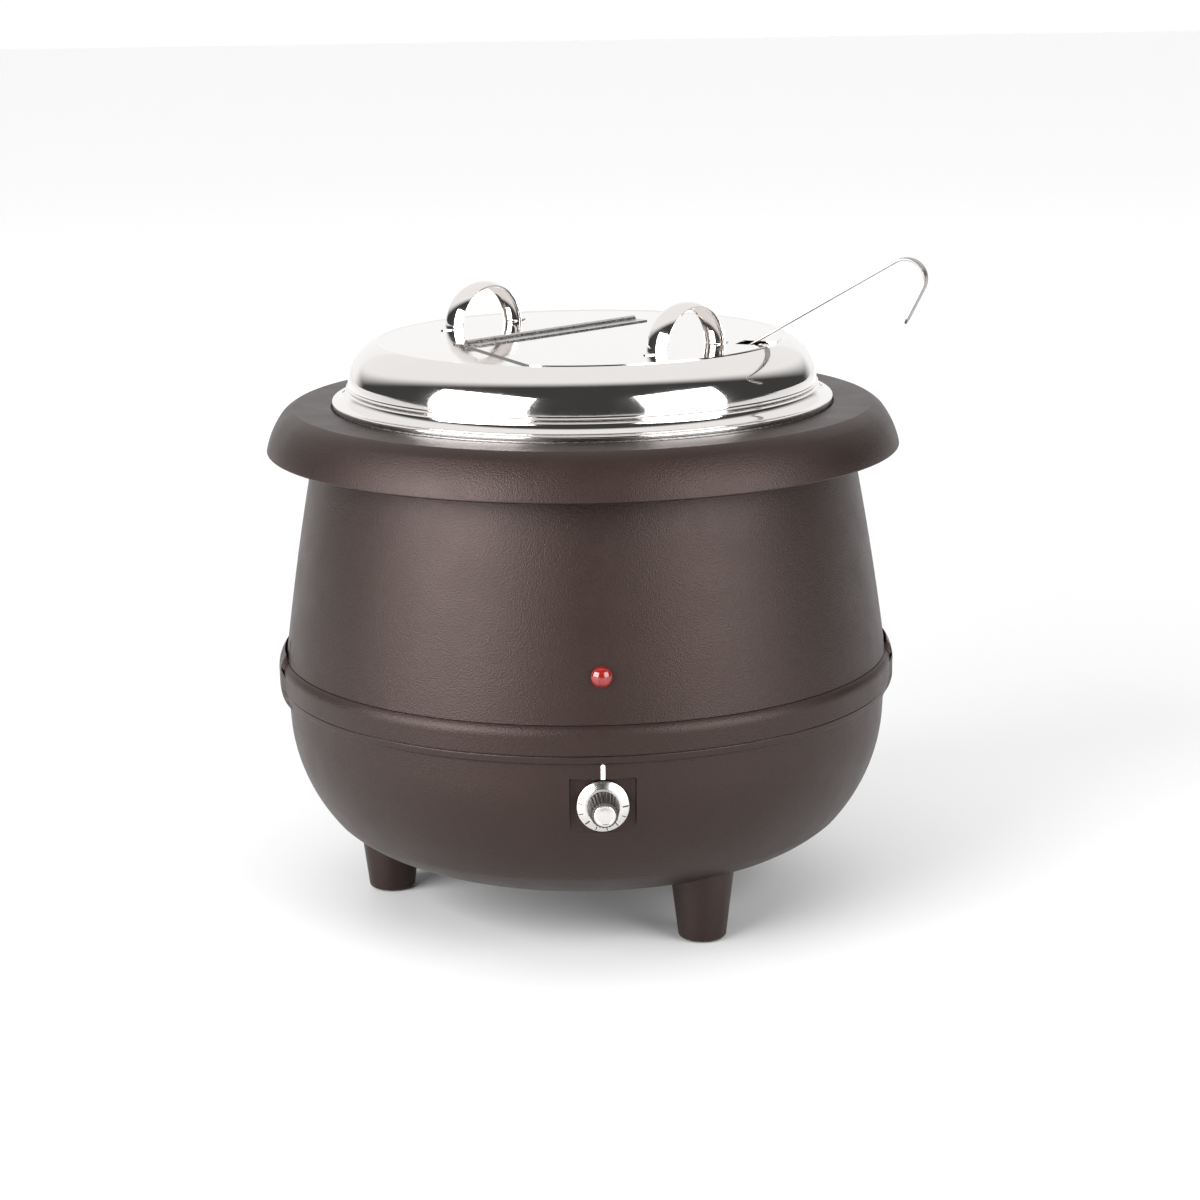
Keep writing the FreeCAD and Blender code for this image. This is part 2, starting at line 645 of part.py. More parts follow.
rivets, rivet_holes = [], []
for number, station in enumerate(("ladle_rim * 0.25", "ladle_rim * 0.75")):
    seat = ladle_centre + along * value(station) - upward * value("ladle_radius + strap / 2")
    depth = value("strap / 2 + ladle_sheet")
    hole = Part.makeCylinder(value("rivet_radius") + 0.05, 12, seat - upward * 6, upward)
    shank = Part.makeCylinder(value("rivet_radius"), value("strap + ladle_sheet") + 2, seat - upward * 2,
                              upward)
    outer_seat = seat - upward * value("strap / 2 + 1")
    outer_head = Part.makeCylinder(value("rivet_radius") * 2, 1, outer_seat, upward)
    inner_head = Part.makeCylinder(value("rivet_radius") * 2, 1, seat + upward * (depth + 0.4), upward)
    rivets.append(shank.fuse([outer_head, inner_head]))
    rivet_holes.append(hole)
strap = doc.addObject("Part::Feature", "ladle_strap")
strap.Shape = strap_solid.cut(rivet_holes)
strap.Placement = Placement(Vector(), LADLE_TURN)
node("ladle_strap", strap)
hole_tool = doc.addObject("Part::Feature", "ladle_rivet_holes")
hole_tool.Shape = Part.makeCompound(rivet_holes)
hole_tool.Placement = Placement(Vector(), LADLE_TURN)
node("ladle_bowl", cut("ladle_bowl_bored", ladle_bowl, hole_tool))
rivet_group = doc.addObject("Part::Feature", "ladle_rivets")
rivet_group.Shape = Part.makeCompound(rivets)
rivet_group.Placement = Placement(Vector(), LADLE_TURN)
node("ladle_rivets", rivet_group)

# ---------------------------------------------------------------- controls on the front
# Turned about Z, then faced to the front: their height is the distance from the kettle's axis.
SKIRT_BACK = "recess_floor + 0.7"
SKIRT_FRONT = "recess_floor + 4.5"
node("knob_skirt", face_front(turned("knob_skirt", [
    ("spindle_radius + 0.05", SKIRT_BACK), ("skirt_radius", SKIRT_BACK),
    ("skirt_radius", "recess_floor + 2"), ("skirt_radius - 4.6", SKIRT_FRONT),
    ("spindle_radius + 0.05", SKIRT_FRONT)]), "dial_height"))

knob_grip = turned("knob_grip", [
    ("spindle_radius + 0.05", SKIRT_FRONT), ("grip_root_radius", SKIRT_FRONT),
    ("grip_root_radius", "recess_floor + 6"), ("grip_tip_radius", "recess_floor + 3.5 + grip_length"),
    ("grip_tip_radius - 1", "recess_floor + 4.5 + grip_length"), ("0", "recess_floor + 4.5 + grip_length"),
    ("0", "recess_floor + grip_length - 1"), ("spindle_radius + 0.05", "recess_floor + grip_length - 1")])
rib_groove = circles(sketch_in(knob_grip, "XY_Plane", "rib_groove", "recess_floor + 30"), "0.7",
                     [("grip_root_radius + 0.1", "0")])
groove = pocket(knob_grip, rib_groove, "23")
ribs = knob_grip.newObject("PartDesign::PolarPattern", "knob_ribs")
ribs.Originals = [groove]
ribs.Axis = (rib_groove, ["N_Axis"])
ribs.Angle = 360
ribs.Occurrences = 24
knob_grip.Tip = ribs
node("knob_grip", face_front(knob_grip, "dial_height"))
CAP_BACK = "recess_floor + 4.5 + grip_length"
node("knob_cap", face_front(turned("knob_cap", [
    ("0", CAP_BACK), ("6.5", CAP_BACK), ("6.5", CAP_BACK + " + 0.7"), ("6", CAP_BACK + " + 1.2"),
    ("0", CAP_BACK + " + 1.5")]), "dial_height"))
node("thermostat_spindle", cylinder("thermostat_spindle", "spindle_radius", "grip_length + 14",
                                    ("0", "-recess_floor + 15.1", "dial_height"), FRONT))

# The pilot lamp: a domed lens on a holder that clips behind the shell.
node("lamp_lens", face_front(turned("lamp_lens", [
    ("0", "183.5"), ("lamp_radius", "183.5"),
    ("lamp_radius", "190.6", "(lamp_radius^2 + lamp_dome^2) / (2 * lamp_dome)"),
    ("0", "190.6 + lamp_dome")]), "lamp_height"))
node("lamp_holder", face_front(turned("lamp_holder", [
    ("0", "166"), ("lamp_radius - 1", "166"), ("lamp_radius - 1", "178"), ("9", "178"), ("9", "181"),
    ("lamp_radius - 0.3", "181"), ("lamp_radius - 0.3", "183.5"), ("0", "183.5")]), "lamp_height"))

# The thermostat: a capillary switch on a plate behind the recess, with two screws under the dial.
PLATE_FRONT = "recess_floor - wall"
thermostat = new_body("thermostat_body")
plate_shape = outline(sketch_in(thermostat, "XZ_Plane", "thermostat_plate", PLATE_FRONT + " - 1.5"), [
    ("-21", "dial_height - 14"), ("21", "dial_height - 14"), ("21", "dial_height + 14"),
    ("-21", "dial_height + 14")])
pad(thermostat, plate_shape, "1.5")
case_shape = circles(sketch_in(thermostat, "XZ_Plane", "thermostat_case", PLATE_FRONT + " - 25"), "10.5",
                     [("0", "dial_height")])
pad(thermostat, case_shape, "23.5")
block_shape = outline(sketch_in(thermostat, "XZ_Plane", "thermostat_block", PLATE_FRONT + " - 33"), [
    ("-17", "dial_height - 13"), ("17", "dial_height - 13"), ("17", "dial_height + 13"),
    ("-17", "dial_height + 13")])
pad(thermostat, block_shape, "20")
spindle_bore = circles(sketch_in(thermostat, "XZ_Plane", "spindle_bore", PLATE_FRONT + " - 13"),
                       "spindle_radius + 0.06", [("0", "dial_height")])
pocket(thermostat, spindle_bore, "20", reverse=True)
screw_bores = circles(sketch_in(thermostat, "XZ_Plane", "screw_bores", PLATE_FRONT + " - 3"), "1.6",
                      [("-13", "dial_height"), ("13", "dial_height")])
pocket(thermostat, screw_bores, "10", reverse=True)
node("thermostat_body", thermostat)


def screw(name, radius, length, head_radius, head, place, turn=None):
    """A pan-head screw from its tip at place, pointing its head along +Z or along the turned axis."""
    way = (turn or Rotation()).multVec(Vector(0, 0, 1))
    shank = cylinder(name + "_shank", radius, length, place, turn)
    seat = tuple("(%s) + %s * (%s)" % (text, step, length) for text, step in zip(place, way))
    return fuse(name, [shank, cylinder(name + "_head", head_radius, head, seat, turn)])


thermostat_screws = []
for side in (-1, 1):
    place = ("%d" % (13 * side), "-(%s) + 1.5" % PLATE_FRONT, "dial_height")
    thermostat_screws.append(screw("thermostat_screw_%d" % (side + 2), "1.5", "wall + 1.5", "2.6", "0.5",
                                   place, FRONT))
node("thermostat_screws", group("thermostat_screws", thermostat_screws))

# ---------------------------------------------------------------- feet
foot_screws, foot_pads = [], []
for name, azimuth in FOOT_AZIMUTHS.items():
    x, y = polar("foot_circle", azimuth)
    blank = turned(name + "_blank", [
        ("0", "3"), ("pad_radius + 0.1", "3"), ("pad_radius + 0.1", "foot_tip"),
        ("foot_radius - 2.3", "foot_tip", "2.3"),
        ("foot_radius", "foot_tip + 2.3"), ("foot_top_radius", "52"), ("0", "52")])
    bind_place(blank, (x, y, "0"))
    bore = cylinder(name + "_bore", "2.55", "60", (x, y, "14"))
    node(name, cut(name, blank, fuse(name + "_trim", [bowl_core, bore])))
    foot_pads.append(cylinder(name + "_pad", "pad_radius", "3", (x, y, "0")))
    foot_screws.append(screw(name + "_screw", "rod_radius", "floor_height - 6", "4.5", "3.5", (x, y, "15")))
node("foot_pads", group("foot_pads", foot_pads))
node("foot_screws", group("foot_screws", foot_screws))

# ---------------------------------------------------------------- rods, shield and heater
rods, spacers, rod_nuts, shield_ears = [], [], [], []
for azimuth in ROD_AZIMUTHS:
    x, y = polar("rod_circle", azimuth)
    shank = cylinder("rod_shank_%d" % azimuth, "rod_radius", "312 - rod_seat", (x, y, "rod_seat"))
    head = cylinder("rod_head_%d" % azimuth, "4.5", "4", (x, y, "rod_seat - 4"))
    rods.append(fuse("rod_%d" % azimuth, [shank, head]))
    sleeve = cylinder("sleeve_%d" % azimuth, "5", "shield_height - boss_top", (x, y, "boss_top"))
    sleeve_bore = cylinder("sleeve_bore_%d" % azimuth, "rod_radius + 0.2", "80", (x, y, "boss_top - 5"))
    spacers.append(cut("spacer_%d" % azimuth, sleeve, sleeve_bore))
    nut = doc.addObject("Part::Prism", "nut_blank_%d" % azimuth)
    nut.Polygon = 6
    bind(nut, Circumradius="4.6", Height="4")
    bind_place(nut, (x, y, "shield_height + sheet"))
    nut_bore = cylinder("nut_bore_%d" % azimuth, "rod_radius + 0.02", "20", (x, y, "shield_height - 5"))
    rod_nuts.append(cut("rod_nut_%d" % azimuth, nut, nut_bore))
node("tie_rods", group("tie_rods", rods))
node("shield_spacers", group("shield_spacers", spacers))
node("shield_nuts", group("shield_nuts", rod_nuts))

shield = turned("heat_shield", [
    ("0", "shield_height"), ("shield_radius", "shield_height"), ("shield_radius", "shield_height + 6"),
    ("shield_radius - sheet", "shield_height + 6"), ("shield_radius - sheet", "shield_height + sheet"),
    ("0", "shield_height + sheet")])
shield_holes = circles(sketch_in(shield, "XY_Plane", "shield_holes", "shield_height - 5"), "rod_radius + 0.2",
                       [polar("rod_circle", azimuth) for azimuth in ROD_AZIMUTHS])
pocket(shield, shield_holes, "12", reverse=True)
wire_holes = circles(sketch_in(shield, "XY_Plane", "wire_holes", "shield_height - 5"), "5",
                     [("-14", "100"), ("14", "100")])
pocket(shield, wire_holes, "12", reverse=True)
front_gap = outline(sketch_in(shield, "XY_Plane", "front_gap", "shield_height - 5"), [
    ("-27", "-170"), ("27", "-170"), ("27", "-138"), ("-27", "-138")])
pocket(shield, front_gap, "12", reverse=True)
node("heat_shield", shield)

HEATER_TOP = "pan_floor - plate"
node("heat_spreader", fuse("heat_spreader", [
    cylinder("spreader_plate", "plate_radius", "plate", ("0", "0", HEATER_TOP)),
    cylinder("spreader_stud", "2.5", "18", ("0", "0", HEATER_TOP + " - 18"))]))
ring = doc.addObject("Part::Torus", "element_ring")
bind(ring, Radius1="element_circle", Radius2="element_radius")
ring.Angle3 = 336
ring.Placement = Placement(Vector(0, 0, 0), Rotation(Vector(0, 0, 1), 102))
ring.setExpression("Placement.Base.z", expression(HEATER_TOP + " - element_radius"))
element_ends = []
for side, azimuth in (("left", 192), ("right", 168)):
    x, y = polar("element_circle", azimuth)
    element_ends.append(cylinder("element_end_" + side, "element_radius", "14",
                                 (x, y, HEATER_TOP + " - element_radius - 14")))
    element_ends.append(cylinder("element_pin_" + side, "1.6", "20",
                                 (x, y, HEATER_TOP + " - element_radius - 20")))
node("heating_element", fuse("heating_element", [ring] + element_ends))
BAR_TOP = HEATER_TOP + " - 2 * element_radius"
bar = new_body("element_clamp")
bar_shape = outline(sketch_in(bar, "XY_Plane", "bar_outline", BAR_TOP + " - 1.5"), [
    ("-94", "-9"), ("94", "-9"), ("94", "9"), ("-94", "9")])
pad(bar, bar_shape, "1.5")
bar_hole = circles(sketch_in(bar, "XY_Plane", "bar_hole", BAR_TOP + " - 5"), "2.6", [("0", "0")])
pocket(bar, bar_hole, "10", reverse=True)
node("element_clamp", bar)
clamp_nut = doc.addObject("Part::Prism", "clamp_nut_blank")
clamp_nut.Polygon = 6
bind(clamp_nut, Circumradius="4.6", Height="4")
bind_place(clamp_nut, ("0", "0", BAR_TOP + " - 5.5"))
node("clamp_nut", cut("clamp_nut", clamp_nut, cylinder("clamp_nut_bore", "2.52", "20",
                                                       ("0", "0", BAR_TOP + " - 15"))))
node("thermal_cutout", fuse("thermal_cutout", [
    cylinder("cutout_case", "9", "7", ("0", "-45", HEATER_TOP + " - 7")),
    block("cutout_left_tab", ("8", "5", "1"), ("-15", "-47.5", HEATER_TOP + " - 7")),
    block("cutout_right_tab", ("8", "5", "1"), ("7", "-47.5", HEATER_TOP + " - 7"))]))


def tube_along(name, radius, points, bend):
    """Solid of a round section along straight runs joined by tangent arcs."""
    path = [Vector(*point) for point in points]
    edges, start = [], path[0]
    for before, corner, after in zip(path, path[1:], path[2:]):
        way_in = (corner - before).normalize()
        way_out = (after - corner).normalize()
        setback = bend * math.tan(way_in.getAngle(way_out) / 2)
        first, last = corner - way_in * setback, corner + way_out * setback
        bisector = (way_out - way_in).normalize()
        centre = corner + bisector * math.hypot(setback, bend)
        edges.append(Part.LineSegment(start, first).toShape())
        edges.append(Part.Arc(first, centre - bisector * bend, last).toShape())
        start = last
    edges.append(Part.LineSegment(start, path[-1]).toShape())
    spine = Part.Wire(edges)
    section = Part.Wire(Part.makeCircle(radius, path[0], path[1] - path[0]))
    solid = spine.makePipeShell([section], True, False)
    if abs(solid.Volume / (math.pi * radius ** 2 * spine.Length) - 1) > 0.02:
        raise RuntimeError(name + " has the wrong volume")
    return solid


def wires(name, radius, routes, bend=6):
    """A node of separate wires."""
    thing = doc.addObject("Part::Feature", name)
    thing.Shape = Part.makeCompound([tube_along(name, radius, route, bend) for route in routes])
    return node(name, thing)


# The thermostat's sensing bulb lies under the pan's floor and its capillary runs to the thermostat.
bulb_height = value("pan_floor") - 3.1
bulb = Part.makeCylinder(3, 70, Vector(-35, -118, bulb_height), Vector(1, 0, 0))
capillary = tube_along("capillary", 0.9, [(34, -118, bulb_height), (52, -118, bulb_height), (52, -140, 131),
                                          (10, -158, 131), (10, -158, value("dial_height") + 13)], 4)
sensor = doc.addObject("Part::Feature", "capillary_bulb")
sensor.Shape = bulb.fuse(capillary)
node("capillary_bulb", sensor)

# Terminal block on the floor at the rear, the cable gland with its nut, and the wires between them.
TERMINAL_TOP = "floor_height + wall + 14"
node("terminal_block", block("terminal_block", ("36", "18", "14"), ("-18", "94", "floor_height + wall")))
GLAND_FACE = "188.5"
gland_solid = fuse("gland_solid", [
    cylinder("gland_barrel", "gland_radius", "32", ("0", GLAND_FACE + " - 32", "gland_height"), REAR),
    cylinder("gland_flange", "gland_radius + 3.5", "4", ("0", GLAND_FACE, "gland_height"), REAR),
    cylinder("gland_nose", "gland_radius - 1", "12", ("0", GLAND_FACE + " + 4", "gland_height"), REAR)])
node("cord_gland", cut("cord_gland", gland_solid, cylinder(
    "gland_bore", "cable_radius", "60", ("0", GLAND_FACE + " - 40", "gland_height"), REAR)))
nut_solid = doc.addObject("Part::Prism", "gland_nut_blank")
nut_solid.Polygon = 6
bind(nut_solid, Circumradius="gland_radius + 4", Height="5")
nut_solid.Placement = Placement(Vector(), REAR)
bind_place(nut_solid, ("0", "158.9", "gland_height"))
node("gland_nut", cut("gland_nut", nut_solid, cylinder(
    "gland_nut_bore", "gland_radius + 0.05", "20", ("0", "150", "gland_height"), REAR)))

terminal_height = value(TERMINAL_TOP)
gland_height = value("gland_height")
wires("supply_wires", 1.2, [
    [(x, 153, gland_height), (x, 132, gland_height), (5 * x, 103, terminal_height + 22),
     (5 * x, 103, terminal_height)] for x in (-1.8, 1.8)], 8)
element_x, element_y = [value(text) for text in polar("element_circle", 168)]
pin_middle = value(HEATER_TOP) - value("element_radius") - 17
wires("element_wires", 1.2, [
    [(side * 14, 109, terminal_height), (side * 14, 109, 84), (side * 14, 100, 98),
     (side * 14, 100, pin_middle), (side * element_x, element_y + 2, pin_middle)] for side in (-1, 1)], 4)

# ---------------------------------------------------------------- checks and export
doc.recompute()
for thing in doc.Objects:
    if {"Invalid", "Error"} & set(thing.State):
        raise RuntimeError("%s failed: %s" % (thing.Name, thing.State))
os.makedirs("parts", exist_ok=True)
for name, thing in nodes.items():
    shape = thing.Shape
    if shape.isNull() or not shape.isValid() or not shape.Solids:
        raise RuntimeError(name + " has no valid solid")
    shape.exportStep("parts/%s.step" % name)
    box = shape.BoundBox
    print("%-20s %2d solid %9.0f mm3  x %6.1f %6.1f  y %6.1f %6.1f  z %6.1f %6.1f" % (
        name, len(shape.Solids), shape.Volume, box.XMin, box.XMax, box.YMin, box.YMax, box.ZMin, box.ZMax))
print(len(nodes), "nodes")
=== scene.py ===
# %% [markdown]
# An electric soup kettle: a dark plastic casing on three feet, a polished steel lid with a hinged flap, and a
# ladle. The mechanical design is already fixed, so the lesson starts by loading it. Everything that shows
# gets a smooth surface or a better finish around that frame, and nothing of the frame is moved.

# %% Load the frame
import json
import math
import bmesh
import bpy
import numpy as np
from mathutils import Matrix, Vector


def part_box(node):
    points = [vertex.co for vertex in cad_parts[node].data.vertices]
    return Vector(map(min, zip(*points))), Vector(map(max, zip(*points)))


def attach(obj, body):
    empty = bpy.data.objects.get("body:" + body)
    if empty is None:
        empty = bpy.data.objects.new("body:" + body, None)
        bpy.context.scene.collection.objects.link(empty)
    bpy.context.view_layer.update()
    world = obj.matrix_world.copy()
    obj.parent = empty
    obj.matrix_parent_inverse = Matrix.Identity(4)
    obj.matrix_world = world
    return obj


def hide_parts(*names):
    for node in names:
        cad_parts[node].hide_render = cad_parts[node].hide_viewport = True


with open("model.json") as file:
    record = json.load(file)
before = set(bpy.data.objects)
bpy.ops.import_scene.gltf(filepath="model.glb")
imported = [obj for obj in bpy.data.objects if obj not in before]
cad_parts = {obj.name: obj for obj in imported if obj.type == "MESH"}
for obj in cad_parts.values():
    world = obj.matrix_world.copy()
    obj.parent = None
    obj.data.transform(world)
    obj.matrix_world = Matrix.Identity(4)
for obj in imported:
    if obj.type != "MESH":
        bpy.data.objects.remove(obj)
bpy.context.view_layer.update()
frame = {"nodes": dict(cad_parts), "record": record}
MM = 0.001


def box_mm(node):
    """Lowest and highest corner of a node in millimetres."""
    low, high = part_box(node)
    return np.array(low) / MM, np.array(high) / MM


# %% [markdown]
# The camera looks a little down on the kettle from the front. It stands slightly to the left of the knob, and
# its long lens keeps the ellipses of the rims flat. The kettle sits a touch left of the middle of the frame,
# which a small shift of the lens does without turning the camera.

# %% Camera
CAMERA_AZIMUTH = math.radians(-2.7)      # from the front, towards the right
CAMERA_DISTANCE = 1.7195
CAMERA_HEIGHT = 0.6019
CAMERA_PITCH = math.radians(13.48)
CAMERA_ROLL = math.radians(0.8)

camera = bpy.data.objects.new("camera", bpy.data.cameras.new("camera"))
bpy.context.scene.collection.objects.link(camera)
camera.location = (CAMERA_DISTANCE * math.sin(CAMERA_AZIMUTH),
                   -CAMERA_DISTANCE * math.cos(CAMERA_AZIMUTH), CAMERA_HEIGHT)
facing = (Matrix.Rotation(CAMERA_AZIMUTH, 3, "Z") @ Matrix.Rotation(math.pi / 2 - CAMERA_PITCH, 3, "X")
          @ Matrix.Rotation(-CAMERA_ROLL, 3, "Z"))
camera.rotation_euler = facing.to_euler()
camera.data.lens = 82.26
camera.data.sensor_width = 36
camera.data.shift_x = 0.0124
bpy.context.scene.camera = camera
print("camera at", [round(c, 3) for c in camera.location])

# %% [markdown]
# The stage is a plain white floor. A polished lid shows what stands around it, so the surroundings matter as
# much as the lights. The floor here is one large square, since a curved backdrop would add nothing where the
# floor is as white as the room. Its finish comes later, with the others.

# %% Floor
def link(thing):
    """Put an object in the scene and return it."""
    bpy.context.scene.collection.objects.link(thing)
    return thing


def floor_plane(half):
    """A square in the plane z = 0."""
    mesh = bpy.data.meshes.new("floor")
    corners = [(-half, -half, 0), (half, -half, 0), (half, half, 0), (-half, half, 0)]
    mesh.from_pydata(corners, [], [(0, 1, 2, 3)])
    return link(bpy.data.objects.new("floor", mesh))


FLOOR_HALF = 16
floor = floor_plane(FLOOR_HALF)
print("floor", 2 * FLOOR_HALF, "m across")

# %% [markdown]
# The world is what the lid mirrors. An image of a studio could be wrapped round the scene, but two ramps on
# the direction do the same and stay easy to change: one is white straight behind the kettle, the other white
# overhead. Between them, low down at the sides and in front, it is nearly black, which gives the steel its
# dark band. The camera is shown plain white instead, so the picture's background stays clean from any side.

# %% Surroundings
OVERHEAD = 0.95


def ramp_between(nodes, links, value, start, end, low, high):
    """A smooth S from low at start to high at end; returns its value socket."""
    ramp = nodes.new("ShaderNodeMapRange")
    ramp.interpolation_type = "SMOOTHSTEP"
    ramp.inputs["From Min"].default_value, ramp.inputs["From Max"].default_value = start, end
    ramp.inputs["To Min"].default_value, ramp.inputs["To Max"].default_value = low, high
    links.new(value, ramp.inputs["Value"])
    return ramp.outputs[0]


def larger(nodes, links, first, second):
    """The larger of two values; returns its socket."""
    either = nodes.new("ShaderNodeMath")
    either.operation = "MAXIMUM"
    links.new(first, either.inputs[0])
    links.new(second, either.inputs[1])
    return either.outputs[0]


def surroundings():
    """World light by direction: white behind and above the kettle, dark low down at its sides and front.

    The camera itself always sees white, from every side.
    """
    world = bpy.data.worlds.new("studio")
    bpy.context.scene.world = world
    world.use_nodes = True
    nodes, links = world.node_tree.nodes, world.node_tree.links
    direction = nodes.new("ShaderNodeTexCoord")
    split = nodes.new("ShaderNodeSeparateXYZ")
    links.new(direction.outputs["Generated"], split.inputs[0])
    back = ramp_between(nodes, links, split.outputs["Y"], 0.7, 0.9, 0.05, 1.02)
    high = nodes.new("ShaderNodeVectorMath")
    high.operation = "DOT_PRODUCT"
    high.inputs[1].default_value = (0, 0.6, 0.8)
    links.new(direction.outputs["Generated"], high.inputs[0])
    above = ramp_between(nodes, links, high.outputs["Value"], 0.44, 0.68, 0.0, OVERHEAD)
    seen = nodes.new("ShaderNodeLightPath")
    shown = larger(nodes, links, larger(nodes, links, back, above), seen.outputs["Is Camera Ray"])
    links.new(shown, nodes["Background"].inputs["Strength"])
    nodes["Background"].inputs["Color"].default_value = (1, 1, 1, 1)


surroundings()
print("world set")

# %% [markdown]
# Two tall soft boxes stand in front, left and right of the camera. They give the two bright windows on the
# lid's wall and the broad soft streaks on the dark casing. A point lamp would leave a hard spot on both. A
# wide sun from above fills the shadows; it is hidden from reflections, so it adds no bright patch to the
# steel.

# %% Lights
def soft_box(name, place, aim, width, height, power):
    """A rectangular area light at place, facing aim."""
    light = bpy.data.lights.new(name, "AREA")
    light.shape = "RECTANGLE"
    light.size, light.size_y, light.energy = width, height, power
    lamp = link(bpy.data.objects.new(name, light))
    lamp.location = place
    way = np.array(aim, float) - np.array(place, float)
    turn = math.atan2(way[1], way[0]) - math.pi / 2
    tilt = math.atan2(way[2], math.hypot(way[0], way[1]))
    lamp.rotation_euler = (math.pi / 2 + tilt, 0, turn)


AIM = (0, 0, 0.75)
soft_box("soft_box_left", (-1.78, -1.29, 1.1), AIM, width=2.1, height=1.7, power=120)
soft_box("soft_box_right", (1.61, -1.5, 1.1), AIM, width=1.7, height=1.7, power=66)
sky = link(bpy.data.objects.new("sky_light", bpy.data.lights.new("sky_light", "SUN")))
sky.data.energy, sky.data.angle = 1.3, math.radians(100)
sky.visible_glossy = False
bpy.context.scene.view_settings.view_transform = "Standard"

# %% [markdown]
# Most of the kettle is round, so most pieces start as an outline: (radius, height) points of the section. It
# is written with few corners, and a long curve between two of them is an arc of a given radius. Hard corners
# are then rounded a little, because real edges catch the light. Blender's curves could draw such outlines
# too, but as arrays they can be measured and changed by number.

# %% Outlines
def trace(corners, steps=28):
    """Points along an outline.

    A corner is (x, y), or (x, y, R) where the way to the next corner is an arc of radius R that bulges to the
    right of the way (to the left if R is negative).
    """
    line = []
    for here, there in zip(corners, corners[1:] + corners[:1]):
        line.append(np.array([here[:2]], float))
        if len(here) < 3:
            continue
        start, end, radius = np.array(here[:2], float), np.array(there[:2], float), here[2]
        chord = end - start
        left = np.array([-chord[1], chord[0]]) / np.linalg.norm(chord)
        rise = math.sqrt(radius ** 2 - np.dot(chord, chord) / 4)
        centre = (start + end) / 2 + left * rise * np.sign(radius)
        first = math.atan2(*(start - centre)[::-1])
        turn = math.atan2(*(end - centre)[::-1]) - first
        turn = (turn + math.pi) % (2 * math.pi) - math.pi
        angles = first + turn * np.linspace(0, 1, steps + 1)[1:-1]
        line.append(centre + abs(radius) * np.stack([np.cos(angles), np.sin(angles)], 1))
    return np.concatenate(line)


def soften(line, radius, closed=True, least=18, steps=4):
    """Each corner sharper than `least` degrees becomes a small parabola that starts `radius` before it."""
    result = []
    for i, corner in enumerate(line):
        ends = not closed and i in (0, len(line) - 1)
        before, after = line[i - 1], line[(i + 1) % len(line)]
        back, on = before - corner, after - corner
        size_back, size_on = np.linalg.norm(back), np.linalg.norm(on)
        if ends or min(size_back, size_on) < 1e-9:
            result.append(corner[None])
            continue
        cosine = np.clip(-np.dot(back, on) / size_back / size_on, -1, 1)
        if math.degrees(math.acos(cosine)) < least:
            result.append(corner[None])
            continue
        start = corner + back / size_back * min(radius, 0.45 * size_back)
        end = corner + on / size_on * min(radius, 0.45 * size_on)
        t = np.linspace(0, 1, steps + 1)[:, None]
        result.append((1 - t) ** 2 * start + 2 * t * (1 - t) * corner + t ** 2 * end)
    return np.concatenate(result)


def resample(line, count):
    """The same open line with `count` points at even distances."""
    walked = np.concatenate([[0], np.cumsum(np.linalg.norm(np.diff(line, axis=0), axis=1))])
    stations = np.linspace(0, walked[-1], count)
    return np.stack([np.interp(stations, walked, line[:, k]) for k in range(line.shape[1])], 1)


def step(x, width):
    """0 below 0, 1 above width, and a smooth S between them."""
    t = np.clip(x / width, 0, 1)
    return t * t * (3 - 2 * t)


print("outline of a 10 mm disc:", len(trace([(0, 0), (10, 0, 10), (-10, 0, 10)])), "points")

# %% [markdown]
# A lathe turns an outline about the kettle's axis, which gives a grid of points: one column for each angle
# and one row for each point of the outline. Blender's Screw modifier does the same, but a grid can also be
# bent, masked or moved point by point before it becomes a mesh. `grid_piece` makes any such grid a closed
# smooth mesh, puts it on the body it rides on and hides the nodes of the frame it stands for.

# %% Grids become meshes
def grid_piece(name, points, body, finish, around=True, along=True, hides=(), crease=40):
    """A mesh over a grid of points in millimetres, shape (columns, rows, 3).

    `around` joins the last column to the first and `along` the last row to the first. Doubles at poles are
    merged and faces are turned outwards.
    """
    columns, rows = points.shape[:2]
    index = np.arange(columns * rows).reshape(columns, rows)
    a = index if around else index[:-1]
    b = np.roll(index, -1, 0) if around else index[1:]
    if along:
        c, d = np.roll(b, -1, 1), np.roll(a, -1, 1)
    else:
        a, b, c, d = a[:, :-1], b[:, :-1], b[:, 1:], a[:, 1:]
    faces = np.stack([a, b, c, d], -1).reshape(-1, 4)
    mesh = bpy.data.meshes.new(name)
    mesh.from_pydata(points.reshape(-1, 3) * MM, [], faces.tolist())
    work = bmesh.new()
    work.from_mesh(mesh)
    bmesh.ops.remove_doubles(work, verts=work.verts, dist=2e-6)
    bmesh.ops.dissolve_degenerate(work, edges=work.edges, dist=1e-7)
    if not (around and along):
        bmesh.ops.holes_fill(work, edges=[e for e in work.edges if e.is_boundary], sides=0)
    bmesh.ops.recalc_face_normals(work, faces=work.faces)
    work.to_mesh(mesh)
    work.free()
    mesh.shade_smooth()
    mesh.set_sharp_from_angle(angle=math.radians(crease))
    mesh.materials.append(finish)
    piece = link(bpy.data.objects.new(name, mesh))
    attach(piece, body)
    if hides:
        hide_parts(*hides)


def spun(profile, azimuths):
    """Turn a profile of (radius, height) points about Z: (r sin a, -r cos a, z) at each azimuth a."""
    sine, cosine = np.sin(azimuths)[:, None], np.cos(azimuths)[:, None]
    radius, height = profile[None, :, 0], profile[None, :, 1]
    return np.stack([radius * sine, -radius * cosine, height + 0 * sine], -1)


def full_turn(columns=320):
    """Even angles round a circle, without the last one, which would repeat the first."""
    return np.linspace(0, 2 * math.pi, columns, endpoint=False)


